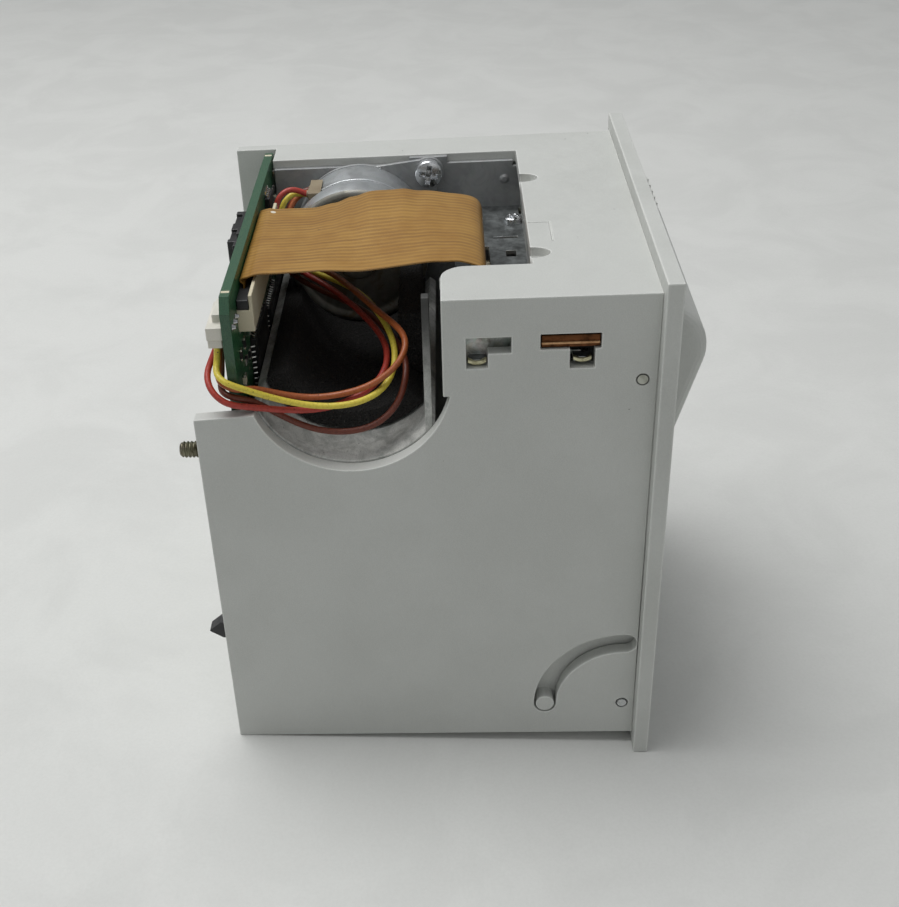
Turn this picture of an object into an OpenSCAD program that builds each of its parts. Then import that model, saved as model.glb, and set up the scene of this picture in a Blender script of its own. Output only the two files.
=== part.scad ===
// Panel-mount thermal chart recorder module.
// A moulded housing with a drop-down front door that carries the platen roller,
// a thermal print head on a sprung carrier, a stepper motor with a gear train,
// a controller board at the back and a flat flex over the motor.
//
// Working frame of every module: X across, 0 in the middle, the service side is -X;
// Y runs back from the mounting plane behind the front frame; Z is up from the
// underside of the housing. place() moves it all to the part's own frame, whose
// origin is the middle of the underside of the bounding box.

/* [Housing] */
// Width of the housing over its side walls
housing_w = 74.8; // [74:0.2:76]
// Depth of the housing behind the mounting plane
housing_d = 73; // [72:0.5:76]
// Height of the housing
housing_h = 88; // [88:0.5:90]
// Thickness of the moulded walls
wall = 2.5; // [2.2:0.1:2.6]
// Thickness of the top plate
top_t = 2.2; // [1.8:0.1:2.4]

/* [Front frame] */
// Thickness of the front frame
bezel_t = 2.6; // [2:0.1:3.5]
// How far the front frame stands out at each side
bezel_side = 2.7; // [2:0.1:6]
// How far the front frame stands out at the top and the bottom
bezel_rise = 2.6; // [2:0.1:6]

/* [Door] */
// Distance of the door's hinge pin behind the mounting plane
hinge_y = 2.2; // [2:0.1:2.6]
// Height of the door's hinge pin
hinge_z = 7.1; // [7:0.1:7.5]
// Radius from the hinge pin to the stop pin
stop_r = 13.85; // [13:0.05:14.5]
// Half of the door's swing that the slot allows for
door_swing = 90; // [60:5:90]
// Width of the bulge over the platen roller
hump_w = 53.8; // [53:0.2:54.4]
// Outer radius of the bulge round the platen roller
hump_r = 7.9; // [7.4:0.1:8]

/* [Paper drive] */
// Distance of the platen roller's axis behind the mounting plane
platen_y = -1.5; // [-1.6:0.1:-1.4]
// Height of the platen roller's axis
platen_z = 72.8; // [72.6:0.1:73]
// Radius of the platen roller's rubber
platen_r = 5; // [4.6:0.1:5]
// Distance of the motor's axis behind the mounting plane
motor_y = 48.6; // [48.4:0.1:48.8]
// Height of the motor's axis
motor_z = 74.6; // [74.4:0.1:74.8]
// Radius of the motor's can
motor_r = 12.5; // [12:0.1:12.5]
// Length of the motor's can
motor_len = 15.3; // [12:0.1:16]
// Distance from the motor's axis to each of its two screws
motor_ear_r = 17; // [16.4:0.1:17.2]

/* [Board and leads] */
// Thickness of the controller board
board_t = 1.6; // [1:0.1:1.6]
// Distance of the board's front face behind the mounting plane
board_y = 65.5; // [65.3:0.1:65.7]
// Width of the flat flex
flex_w = 29.5; // [26:0.5:30]
// Diameter of each motor lead
lead_d = 1.05; // [0.8:0.05:1.1]

/* [Hidden] */

$fn = 64;
eps = 0.01;
side_x = housing_w / 2;            // outer face of each side wall
inner_x = side_x - wall;           // inner face of each side wall

// The part's origin: the bulge's front and the stud's tip are as far from the middle.
hump_front = platen_y - hump_r;
stud_tip = 76.8;
mid_y = (hump_front + stud_tip) / 2;

// Service opening in the top plate and the near side wall
front_plate_y = 18.6;              // the top plate is whole up to here
near_strip_w = 12.5;               // strip of top plate left beside the near wall
far_strip_w = 9.3;
cut_front_y = 33;                  // front edge of the side cut-out
cut_low_z = 71.5;                  // where its straight edge meets the round part
cut_y = 47.9;
cut_z = 74.55;
cut_r = 16.2;
notch_z = 68.5;                    // top of the near wall behind the cut-out
rear_wall_z = 50;
rear_post_z = 64;
rear_post_w = 9;
stud_r = 1.42;
stud_body_r = 1.75;                // pressed-in body of each stud, inside the wall
stud_neck = 0.3;                   // plain neck between the wall and the thread
stud_x = side_x - 4.4;
stud_z = 60.6;

// Door
door_half = inner_x - 0.4;
door_front = -1.8;
door_t = 2.2;
door_low = hinge_z - 1.7;
door_high = 80.6;
cheek_t = 2;
cheek_in = door_half - cheek_t;
hump_t = 1.6;
hump_foot_z = 46;
pin_r = 1;
stop_pin_r = 1.65;
slot_half = 1.97;
latch_y = 2.3;
latch_z = 73.6;
opening_low = 3.1;
opening_high = 84.2;
button_low = opening_high + 0.7;
button_travel = 1.2;

// Gear train, module 0.5. Each gear's tooth count, and the centres in the YZ plane.
gear_m = 0.5;
z_platen = 20;
z_small = 28;
z_wheel = 36;
z_idler_2 = 20;
z_idler_1 = 32;
z_pinion = 14;
function pitch(z) = gear_m * z / 2;
platen_c = [platen_y, platen_z];
motor_c = [motor_y, motor_z];
transfer_c = [platen_y + pitch(z_platen) + pitch(z_small), platen_z];
idler_2_c = transfer_c + (pitch(z_wheel) + pitch(z_idler_2))
    * (motor_c - transfer_c) / norm(motor_c - transfer_c);
// The point at distance ra from a and rb from b, below the line from a to b
function meet(a, b, ra, rb) = let (d = norm(b - a), u = (b - a) / d,
    k = (ra * ra - rb * rb + d * d) / (2 * d), h = sqrt(ra * ra - k * k))
    a + k * u + h * [u[1], -u[0]];
idler_1_c = meet(idler_2_c, motor_c, pitch(z_idler_2) + pitch(z_idler_1),
    pitch(z_idler_1) + pitch(z_pinion));
function heading(a, b) = atan2(b[1] - a[1], b[0] - a[0]);
// Angle of a tooth of gear 2, meshed with gear 1 whose tooth stands at p1
function mesh(c1, c2, z1, z2, p1) = let (a = heading(c1, c2))
    a + 180 - (z1 / z2) * (p1 - a) + 180 / z2;
turn_small = 0;
turn_platen = mesh(transfer_c, platen_c, z_small, z_platen, turn_small);
turn_wheel = 0;
turn_idler_2 = mesh(transfer_c, idler_2_c, z_wheel, z_idler_2, turn_wheel);
turn_idler_1 = mesh(idler_2_c, idler_1_c, z_idler_2, z_idler_1, turn_idler_2);
turn_pinion = mesh(idler_1_c, motor_c, z_idler_1, z_pinion, turn_idler_1);

gear_plate_x = 27;
gear_plate_t = 1;
far_gear_x = 28.6;
far_gear_w = 2.4;
near_gear_x = 23.2;
near_gear_w = 2;
shaft_r = 1.5;
run = 0.05;                        // radial running clearance
motor_x = gear_plate_x - 0.8 - motor_len;
cup_len = 4.7;
ear_tilt = 142;                    // direction of the upper ear, from +Y towards +Z
roller_x0 = -25;
roller_len = 47.4;

// Motor trough
trough_in = 15.9;
trough_t = 1.5;
trough_x0 = -inner_x + 0.1;
trough_len = 59;
fin_y = 34.8;
fin_t = 1.4;

// Head carrier and print head
carrier_z = 76.7;
sheet_t = 0.8;
carrier_screw_x = [18.6, -31];
head_x0 = -26.5;
head_len = 48.2;
head_face_y = platen_y + platen_r + 0.3;
head_t = 1;
sink_t = 4;
sink_low = 60;
sink_high = 79;
head_pivot_y = 7;
head_pivot_z = 61.6;
head_pivot_r = 1;

// Controller board
board_x0 = -34.8;
board_w = 68.6;
board_low = 26;
board_back = board_y + board_t;
socket_x0 = -28.4;
socket_w = 40;
socket_y = board_y - 2.7;
socket_low = 79.5;
socket_high = 83.2;
socket_wall_z = 85.8;
lock_t = 1.65;
flex_slot_y = board_y - 1.1;
flex_slot_t = 0.7;

// Flat flex: centre line in the YZ plane, and its thickness
flex_t = 0.3;
flex_x0 = -23;
flex_line = [[64.75, 80.6], [64.75, 85.3], [65.05, 85.7], [65.05, 86.1], [64.5, 86.45], [62.5, 86.85],
    [58, 87.05], [54, 87.2], [50, 87.4], [46, 87.6], [42, 87.9], [38, 88.25], [34, 88.3],
    [31, 88.05], [28.8, 87.7], [27.2, 87.2], [26.2, 86.4], [25.75, 85.2], [25.6, 83],
    [25.5, 80], [25.5, 73.6]];

// Motor leads: X from the outer face of the service side, then Y and Z
route_yellow = [[56.5, 57.6, 84.2], [56.1, 59.8, 85.1], [55.2, 61.9, 84.4], [54.4, 63.1, 82],
    [53.4, 63.5, 79], [51.2, 63.2, 75.8], [48, 61.9, 73.8], [42, 54.2, 74.2], [32, 47, 75.3],
    [22, 43, 74.9], [15, 40.8, 73.8], [10, 40.7, 71.3], [6, 43, 69.2], [3.2, 48, 68.6],
    [3, 54, 68.8], [2.4, 60, 70.8], [0.3, 65, 74.1], [0.2, 67.2, 75.1], [1.8, 68.6, 75.7],
    [3.4, 68.8, 76.3], [4.4, 68.5, 77.9], [4.5, 68.45, 79.55]];
route_red = [[55, 57.9, 84.95], [54.8, 60, 86.3], [54, 62.2, 86.05], [53.2, 63.6, 84.2],
    [52.5, 63.7, 81.4], [51.2, 63.8, 78.2], [48.8, 63.2, 75.5], [45.4, 60.6, 74.6],
    [38, 52.8, 73.6], [28, 47, 73.2], [19, 42.6, 72.6], [12, 41.8, 71.6], [8, 44, 69.3],
    [5.6, 49, 67.8], [4.2, 54, 67.3], [2.4, 59.8, 68.8], [0.8, 64.6, 70.4], [0.1, 67.2, 71.2],
    [0.8, 69.4, 72.8], [2.8, 70.5, 74.3], [5, 70.4, 75.6], [6.35, 69.2, 77.5], [6.5, 68.45, 79.55]];
route_orange = [[58, 57.6, 84.2], [58, 59.3, 84], [57.4, 60.9, 82.8], [56, 61.8, 80.6],
    [53, 62, 78.4], [49.6, 62.3, 77], [46, 60, 76.4], [38, 52, 76.2], [28, 47.2, 76.6],
    [20, 43.4, 76.8], [14, 39.6, 76.7], [10, 38.5, 75.6], [7.6, 40.4, 73], [6.2, 44.4, 70.6],
    [5.7, 49, 69.4], [5.4, 55, 68.9], [4.6, 60.6, 70.8], [3.2, 63.2, 72.4], [1.5, 65, 73],
    [1.2, 66.9, 73.6], [2.8, 68.7, 74.1], [5.6, 68.9, 74.2], [7.6, 69, 75.2], [8.4, 68.8, 77.2],
    [8.5, 68.45, 79.55]];
route_brown = [[59.5, 57.6, 84.2], [59.4, 59.4, 83.9], [58.9, 61.1, 82.6], [57.8, 62.4, 80.2],
    [55.6, 63.2, 76.8], [52.4, 63.1, 74], [47.8, 62, 72.2], [40, 54, 71.6], [30, 46, 72.6],
    [20, 41.4, 72.6], [13, 39, 72.4], [9, 38.9, 70.2], [6.5, 40.5, 66.3], [4.4, 44.4, 63.8],
    [3.7, 49.6, 63.3], [3.5, 55, 64.4], [3.6, 60.4, 67.7], [2.8, 63.4, 70.4], [1.3, 65.4, 71.6],
    [1.2, 67.2, 72.2], [3, 68.6, 72.3], [7, 68.8, 72.7], [9.6, 69, 74.3], [10.4, 68.9, 76.8],
    [10.5, 68.45, 79.55]];

plastic = "#c9cac6";
dark_plastic = "#26272a";
steel = "#b8bbbd";
zinc = "#9ea2a3";
brass = "#b59a4a";

// Moves the working frame to the part's own frame
module place() { translate([0, -mid_y, bezel_rise]) children(); }

// Extrudes an outline drawn in Y and Z along X, from x0 on
module along_x(x0, len) { translate([x0, 0, 0]) rotate([90, 0, 90]) linear_extrude(len) children(); }

// A round bar along X
module rod_x(x0, len, r, c) { along_x(x0, len) translate(c) circle(r); }

// A box from its low corner to its high corner
module block(low, high) { translate(low) cube(high - low); }

// A circular arc band between two angles, measured from +Y towards +Z
module arc_band(c, r_in, r_out, from, to, steps = 24) {
    turn = (to - from) / steps;
    translate(c) polygon(concat(
        [for (i = [0:steps]) r_out * [cos(from + i * turn), sin(from + i * turn)]],
        [for (i = [steps:-1:0]) r_in * [cos(from + i * turn), sin(from + i * turn)]]));
}

// A spur gear outline with straight-sided teeth and a little backlash
module gear_outline(z, turn) {
    rp = pitch(z);
    half = 180 / z * 0.44;         // half of a tooth at the pitch line
    lean = 0.45 * gear_m / rp * 57.3 * 0.8;
    tip = rp + 0.85 * gear_m;
    root = rp - 1.15 * gear_m;
    rotate(turn) polygon([for (i = [0:z - 1]) each let (a = i * 360 / z) [
        root * [cos(a - half - lean), sin(a - half - lean)],
        tip * [cos(a - half + lean), sin(a - half + lean)],
        tip * [cos(a + half - lean), sin(a + half - lean)],
        root * [cos(a + half + lean), sin(a + half + lean)]]]);
}

// A toothed wheel along X with a bore
module gear(x0, width, c, z, turn, bore_r) {
    along_x(x0, width) translate(c) difference() {
        gear_outline(z, turn);
        circle(bore_r);
    }
}

// A pan head screw lying along X, its head towards -X
module screw_x(x_face, c, head_r, head_h, shank_r, shank_len) {
    rod_x(x_face, shank_len, shank_r, c);
    translate([x_face, c[0], c[1]]) rotate([0, -90, 0]) difference() {
        rotate_extrude() polygon([[0, 0], [head_r, 0], [head_r, head_h * 0.45],
            [head_r * 0.8, head_h * 0.82], [head_r * 0.45, head_h], [0, head_h]]);
        for (a = [0, 90]) rotate(a) translate([-head_r * 0.5, -head_r * 0.11, head_h * 0.45])
            cube([head_r, head_r * 0.22, head_h]);
    }
}

// A tube through a route's points: one closed skin of round rings
module lead(route) {
    sides = 8;
    n = len(route);
    at = [for (p = route) [p[0] - side_x, p[1], p[2]]];
    dir = [for (i = [0:n - 1]) let (d = at[min(i + 1, n - 1)] - at[max(i - 1, 0)]) d / norm(d)];
    side = [for (d = dir) let (s = cross(d, [0.31, 0.22, 0.92])) s / norm(s)];
    rings = [for (i = [0:n - 1]) let (up = cross(side[i], dir[i]))
        for (k = [0:sides - 1]) let (a = k * 360 / sides)
            at[i] + lead_d / 2 * (cos(a) * side[i] + sin(a) * up)];
    walls = [for (i = [0:n - 2]) for (k = [0:sides - 1]) let (k2 = (k + 1) % sides)
        each [[i * sides + k, (i + 1) * sides + k, (i + 1) * sides + k2],
            [i * sides + k, (i + 1) * sides + k2, i * sides + k2]]];
    ends = [[for (k = [0:sides - 1]) k], [for (k = [sides - 1:-1:0]) (n - 1) * sides + k]];
    polyhedron(rings, concat(walls, ends));
}

// A ribbon of even thickness along a line in Y and Z
module ribbon(x0, width, line, t) {
    n = len(line);
    dir = [for (i = [0:n - 1]) let (d = line[min(i + 1, n - 1)] - line[max(i - 1, 0)]) d / norm(d)];
    over = [for (i = [0:n - 1]) line[i] + t / 2 * [-dir[i][1], dir[i][0]]];
    under = [for (i = [n - 1:-1:0]) line[i] - t / 2 * [-dir[i][1], dir[i][0]]];
    along_x(x0, width) polygon(concat(over, under));
}

// ---- housing ----

// Everything taken out of a side wall for the door's pins, drawn in Y and Z
module pin_openings() {
    translate([hinge_y, hinge_z]) {
        circle(pin_r + 0.08);
        arc_band([0, 0], stop_r - slot_half, stop_r + slot_half, 0, door_swing, 30);
        for (a = [0, door_swing]) rotate(a) translate([stop_r, 0]) circle(slot_half);
    }
    translate([latch_y, latch_z]) circle(pin_r);
}

// The stepped windows that the head carrier's tabs hook into
module carrier_windows() {
    translate([22.4, 78.8]) square([6.9, 2.7]);
    translate([26, 76.3]) square([3.3, 3]);
    translate([8.8, 79.2]) square([9.2, 2.6]);
    translate([9.7, 75.9]) square([3.8, 3.6]);
}

// The cut-out over the motor in the service side
module service_cut() {
    translate([cut_front_y, cut_low_z]) square([housing_d, housing_h]);
    intersection() {
        translate([cut_y, cut_z]) circle(cut_r, $fn = 128);
        translate([0, 0]) square([housing_d, cut_low_z + eps]);
    }
    polygon([[60, notch_z + 0.8], [housing_d + 1, notch_z],
        [housing_d + 1, housing_h], [60, housing_h]]);
}

// The near strip of the top plate, with its one round corner
module near_strip() {
    corner = 4;
    translate([-side_x, front_plate_y - eps]) {
        square([near_strip_w, cut_front_y - front_plate_y - corner + eps]);
        square([near_strip_w - corner, cut_front_y - front_plate_y + eps]);
        translate([near_strip_w - corner, cut_front_y - front_plate_y - corner]) circle(corner);
    }
}

module housing() {
    place() color(plastic) difference() {
        union() {
            along_x(-side_x, wall) difference() {
                square([housing_d, housing_h]);
                service_cut();
                pin_openings();
                carrier_windows();
            }
            along_x(inner_x, wall) difference() {
                square([housing_d, housing_h]);
                pin_openings();
                carrier_windows();
            }
            block([-side_x, 0, 0], [side_x, housing_d, wall]);
            translate([0, 0, housing_h - top_t]) linear_extrude(top_t) {
                translate([-side_x, 0]) square([housing_w, front_plate_y]);
                near_strip();
                translate([side_x - far_strip_w, front_plate_y - eps])
                    square([far_strip_w, board_y - 0.4 - front_plate_y]);
            }
            block([-side_x, housing_d - wall, 0], [side_x, housing_d, rear_wall_z]);
            for (x = [-side_x, side_x - rear_post_w])
                block([x, housing_d - wall, 0], [x + rear_post_w, housing_d, rear_post_z]);
            // a groove on each side wall holds the board's edges below the cut-out
            for (s = [-1, 1], y = [board_y - 1.6, board_back + 0.2])
                block([s < 0 ? -inner_x : inner_x - 1.4, y, wall],
                    [s < 0 ? -inner_x + 1.4 : inner_x, y + 1.4, 60]);
        }
        // pocket for the release button's stem
        block([-7.6, -eps, housing_h - top_t - 1], [7.6, 3, button_low + 2.6]);
        // holes for the two studs
        for (s = [-1, 1]) translate([s * stud_x, housing_d - wall - 1, stud_z]) rotate([-90, 0, 0])
            cylinder(r = stud_body_r, h = wall + 2);
        // half-round reliefs in the front edge of the service opening
        for (x = [13.3, -20.6]) translate([x, front_plate_y - eps, housing_h - 1.6]) linear_extrude(2)
            scale([1.75, 2.6]) circle(1.2);
        // a scribed line on the top plate
        block([-8.2, 14.7, housing_h - 0.15], [-8, front_plate_y + 1, housing_h + 1]);
        block([-16, 14.7, housing_h - 0.15], [-8, 14.9, housing_h + 1]);
    }
}

// ---- front frame and door ----

module bezel() {
    place() color(plastic) translate([0, -bezel_t, 0]) difference() {
        block([-side_x - bezel_side, 0, -bezel_rise],
            [side_x + bezel_side, bezel_t, housing_h + bezel_rise]);
        block([-inner_x, -1, opening_low], [inner_x, bezel_t + 1, opening_high]);
        // the release button's recess, and the hole for its stem
        block([-8.2, -1, button_low - 0.2], [8.2, bezel_t - 0.7, button_low + 5.1]);
        block([-6.2, -1, button_low - 0.2], [6.2, bezel_t + 1, button_low + 2.6]);
    }
}

// Outline of the bulge: an arc round the platen and a straight run down to the door
module hump_outline(r, foot_z, back_y) {
    top = 68;
    low = 196;
    polygon(concat([[back_y, foot_z], [door_front + hump_r - r, foot_z]],
        [for (i = [0:24]) let (a = low + i * (top - low) / 24)
            platen_c + r * [cos(a), sin(a)]],
        [[back_y, platen_z + r * sin(top)]]));
}

// Side cheek: from the hinge boss and the stop arm up to the latch pin's notch
module cheek() {
    lobe_y = hinge_y + stop_r;
    difference() {
        polygon([[door_front + door_t - eps, door_low], [hinge_y + 1, door_low - 1.2],
            [lobe_y - 1, hinge_z - 3], [lobe_y + 2, hinge_z - 2], [lobe_y + 2.6, hinge_z + 1],
            [lobe_y + 2.4, 15.6], [15.4, 24], [9, 42], [7, 78], [door_front + door_t - eps, 79.4]]);
        // open-ended notch that closes on the latch pin
        translate([latch_y, latch_z]) circle(pin_r + 0.35);
        translate([latch_y, latch_z - pin_r - 0.35]) square([8, 2 * (pin_r + 0.35)]);
        // small moulding hole that shows at the edge of the housing's slot
        translate([hinge_y + 12.5, hinge_z + 8.8]) circle(1);
    }
}

module door() {
    place() color(plastic) {
        difference() {
            union() {
                block([-door_half, door_front, door_low], [door_half, door_front + door_t, door_high]);
                along_x(-hump_w / 2, hump_w) hump_outline(hump_r, hump_foot_z, door_front + door_t);
            }
            along_x(-hump_w / 2 + hump_t, hump_w - 2 * hump_t)
                hump_outline(hump_r - hump_t, hump_foot_z + 2, door_front + door_t + 1);
            // seats for the two bushes
            for (s = [-1, 1]) rod_x(s * (hump_w / 2 - hump_t / 2 - 0.15) - 0.8, 1.6, 2.5, platen_c);
        }
        for (s = [-1, 1]) {
            along_x(s < 0 ? -door_half : cheek_in, cheek_t) difference() {
                cheek();
                translate([hinge_y, hinge_z]) circle(pin_r);
            }
            rod_x(s < 0 ? -side_x : door_half - eps, side_x - door_half + eps, stop_pin_r,
                [hinge_y + stop_r, hinge_z]);
            // stiffening rib behind the panel
            block([s * 29 - 0.6, 0.3, 10], [s * 29 + 0.6, 4.5, 54]);
        }
    }
}

module hinge_pins() {
    place() color(steel) for (s = [-1, 1])
        rod_x(s < 0 ? -side_x : cheek_in - 1.4, side_x - cheek_in + 1.4, pin_r, [hinge_y, hinge_z]);
}

module latch_pins() {
    place() color(steel) for (s = [-1, 1])
        rod_x(s < 0 ? -side_x : inner_x - 2.2, wall + 2.2, pin_r, [latch_y, latch_z]);
}

// Ribbed button that slides into the top of the front frame
module release_button() {
    place() color(plastic) {
        block([-8, -bezel_t - 0.3, button_low], [8, -bezel_t + 0.65, button_low + 4.9]);
        for (i = [-2:2]) block([i * 2.8 - 0.5, -bezel_t - 0.6, button_low + 0.4],
            [i * 2.8 + 0.5, -bezel_t - 0.2, button_low + 4.9]);
        block([-6, -bezel_t + 0.6, button_low], [6, 1, button_low + 2.4]);
        block([-7.4, 0.1, button_low], [7.4, 1, button_low + 2.4]);
    }
}

// Leaf spring that pushes the release button forward
module button_spring() {
    place() color(steel) {
        block([-12.6, 2.4, button_low - 0.2], [12.6, 2.8, housing_h - top_t - 0.1]);
        for (x = [-12.6, 10.6]) block([x, 0.1, button_low - 0.2], [x + 2, 2.5, housing_h - top_t - 0.1]);
    }
}

// Serrated steel strip under the top of the frame's opening
module tear_bar() {
    tooth = 1.2;
    count = 40;
    place() color(steel) translate([-tooth * count / 2, 0, 81.9]) {
        translate([0, 0, 0.8]) cube([tooth * count, 0.5, 1.95]);
        translate([0, 0.5, 0]) rotate([90, 0, 0]) linear_extrude(0.5) polygon(concat([[0, 0.81], [0, 0.8]],
            [for (i = [0:count - 1]) each [[(i + 0.5) * tooth, 0], [(i + 1) * tooth, 0.8]]],
            [[tooth * count, 0.81]]));
    }
}

// ---- platen and gears ----

module platen_rubber() {
    place() color("#2b2b2d") along_x(roller_x0, roller_len) translate(platen_c) difference() {
        circle(platen_r);
        circle(shaft_r);
    }
}

module platen_shaft() {
    place() color(steel) rod_x(-hump_w / 2 + 0.9, hump_w - 1.8, shaft_r, platen_c);
}

module platen_bushes() {
    place() color("#e4e0d2") for (s = [-1, 1])
        along_x(s * (hump_w / 2 - hump_t / 2 - 0.15) - 0.65, 1.3) translate(platen_c) difference() {
            circle(2.5);
            circle(shaft_r + run);
        }
}

module platen_gear() {
    place() color("#e9e5d8") gear(near_gear_x, near_gear_w, platen_c, z_platen, turn_platen, shaft_r);
}

module transfer_shaft() {
    place() color(steel) rod_x(22.9, 9, shaft_r, transfer_c);
}

module transfer_wheel() {
    place() color("#e9e5d8") gear(far_gear_x, far_gear_w, transfer_c, z_wheel, turn_wheel, shaft_r);
}

module transfer_gear() {
    place() color("#e9e5d8") gear(near_gear_x, near_gear_w, transfer_c, z_small, turn_small, shaft_r);
}

module transfer_bush() {
    place() color(brass) along_x(gear_plate_x - 0.8, gear_plate_t + 1.2) translate(transfer_c) difference() {
        circle(2.6);
        circle(shaft_r + run);
    }
}

module idler_gear_1() {
    place() color("#e9e5d8") gear(far_gear_x, far_gear_w, idler_1_c, z_idler_1, turn_idler_1, pin_r + run);
}

module idler_gear_2() {
    place() color("#e9e5d8") gear(far_gear_x, far_gear_w, idler_2_c, z_idler_2, turn_idler_2, pin_r + run);
}

module idler_studs() {
    place() color(steel) for (c = [idler_1_c, idler_2_c]) {
        rod_x(gear_plate_x + gear_plate_t, 4, pin_r, c);
        rod_x(far_gear_x + far_gear_w + 0.2, 0.6, 1.9, c);
    }
}

// Zinc-plated side plate that the motor and the gears are fixed to
module gear_plate() {
    place() color(zinc) along_x(gear_plate_x, gear_plate_t) difference() {
        union() {
            polygon([[1.6, 60], [6, 57], [64.8, 57], [64.8, 86.5], [front_plate_y + 0.6, 86.5],
                [front_plate_y + 0.6, 85.4], [6, 85.4], [1.6, 82]]);
            // tab behind the motor's upper ear
            translate([31.6, 84]) square([7.2, 3.8]);
        }
        translate(motor_c) circle(3.2);
        translate(transfer_c) circle(2.6);
        for (a = [ear_tilt, ear_tilt + 180]) translate(motor_c + motor_ear_r * [cos(a), sin(a)]) circle(1.42);
    }
    // pressed dimple
    place() color(zinc) translate([gear_plate_x + eps, 20.8, 82.9]) rotate([0, -90, 0])
        cylinder(r1 = 0.95, r2 = 0.5, h = 0.35);
}

// ---- stepper motor ----

module motor_can() {
    place() color(zinc) {
        rod_x(motor_x, motor_len, motor_r, motor_c);
        // the near half of the drawn case is a wider cup
        rod_x(motor_x + 0.4, cup_len, motor_r + 0.6, motor_c);
        along_x(motor_x + 7.2, 0.9) translate(motor_c) circle(motor_r + 0.15);
    }
}

// End plate with two screw ears
module motor_flange() {
    place() color(zinc) along_x(motor_x + motor_len, 0.8) difference() {
        union() {
            translate(motor_c) circle(motor_r);
            translate(motor_c) for (a = [ear_tilt, ear_tilt + 180]) {
                translate(motor_ear_r * [cos(a), sin(a)]) circle(2.9);
                rotate(a) polygon([[5, 10.5], [motor_ear_r + 0.4, 2.86],
                    [motor_ear_r + 0.4, -2.86], [5, -10.5]]);
            }
        }
        translate(motor_c) circle(3.2);
        for (a = [ear_tilt, ear_tilt + 180]) translate(motor_c + motor_ear_r * [cos(a), sin(a)]) circle(1.42);
    }
}

// Raised cap over the bearing on the motor's near face
module motor_bearing_cap() {
    place() color(zinc) {
        rod_x(motor_x - 0.5, 0.5, 4.2, motor_c);
        rod_x(motor_x - 1.1, 0.6, 2.4, motor_c);
    }
}

// Moulded block that the four leads leave the can through
module motor_lead_block() {
    place() color("#d8d2c4") along_x(16.2, 7.2)
        polygon([[55.1, 85.6], [56.4, 84.85], [57.5, 83.85], [57.5, 85.6]]);
}

module motor_shaft() {
    place() color(steel) rod_x(motor_x + motor_len + 0.01, 7, 1, motor_c);
}

module motor_pinion() {
    place() color(brass) gear(far_gear_x, far_gear_w, motor_c, z_pinion, turn_pinion, 1);
}

module motor_screws() {
    place() color(steel) for (a = [ear_tilt, ear_tilt + 180])
        screw_x(motor_x + motor_len, motor_c + motor_ear_r * [cos(a), sin(a)], 2.75, 1.9, 1.42, 1.85);
}

// ---- inner mouldings ----

// Trough under the motor, with an upright fin in front of the lead loop
module motor_trough() {
    place() color("#b9bbb8") {
        along_x(trough_x0, trough_len)
            arc_band([cut_y, cut_z], trough_in, trough_in + trough_t, 219, 338, 30);
        block([trough_x0, fin_y, 62], [trough_x0 + 1.8, fin_y + 1.2, 87.3]);
    }
}

// Black foam that damps the motor
module foam_liner() {
    place() color("#1c1c1d") {
        // thick beside the leads, thin round the motor
        along_x(-25.4, 34.4) arc_band([cut_y, cut_z], 11.5, trough_in - 0.1, 222, 340, 27);
        along_x(9 - eps, 15) arc_band([cut_y, cut_z], 14, trough_in - 0.1, 222, 340, 27);
        block([-17, fin_y + 1.5, 64.6], [9, fin_y + 5.9, 76.3]);
    }
}

// Wall between the paper bay and the board
module bay_partition() {
    place() color(plastic) block([-inner_x + 0.1, 61.8, wall + 0.05], [inner_x - 0.1, 63.3, 56.6]);
}

// Curved tray that the paper roll turns in
module paper_tray() {
    tray_c = [31.5, 31];
    place() color(plastic) along_x(-31.4, 62.8)
        arc_band(tray_c, 27, 28.45, 214, 360, 36);
}

// ---- print head ----

// Folded zinc carrier: a level deck, a back plate, ears for the pivot and hooked tabs
module head_carrier() {
    deck_y0 = 11.6;
    deck_y1 = 30.6;
    near_x = -34.3;
    far_x = gear_plate_x;
    place() color(zinc) {
        difference() {
            union() {
                block([near_x, deck_y0, carrier_z], [far_x, deck_y1, carrier_z + sheet_t]);
                // side wall seen through the windows
                block([near_x, 19, carrier_z], [near_x + sheet_t, deck_y1, 83.4]);
                // front bar under the top plate
                block([near_x, 17, carrier_z], [far_x, 17.8, 80.6]);
            }
            // slots for the flex, the transfer gear and a punched key
            block([flex_x0 - 1, 24.4, carrier_z - 1], [flex_x0 + flex_w + 1, 26.6, carrier_z + 2]);
            block([22.6, 5, carrier_z - 1], [25.8, 18.2, carrier_z + 2]);
            block([2.6, 19.6, carrier_z - 1], [5.2, 21.4, carrier_z + 2]);
            block([11, 19, carrier_z - 1], [11.7, 23.4, carrier_z + 2]);
            // open area above the print head
            block([-30, deck_y0 - 1, carrier_z - 1], [22, 13.6, carrier_z + 2]);
            for (x = carrier_screw_x) translate([x, 19.6, carrier_z - 1]) cylinder(r = 1, h = 3);
        }
        // back plate behind the springs
        block([-29, 15.4, 58.4], [22.4, 16.2, carrier_z + eps]);
        // flange that the head's connector is fixed to
        block([-26, 22.6, 67], [10, 23.4, carrier_z + eps]);
        // ears for the head's pivot
        for (x = [-28.6, 22.0]) block([x, 4.4, 58.4], [x + 0.6, 15.5, 66]);
        // tabs that rest in the windows
        for (y = [10.2, 26.3]) block([near_x - 1.9, y, 76.5], [near_x + 0.1, y + 2.7, 77.3]);
    }
}

module head_pivot() {
    place() color(steel) rod_x(-28, 50, head_pivot_r, [head_pivot_y, head_pivot_z]);
}

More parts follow.
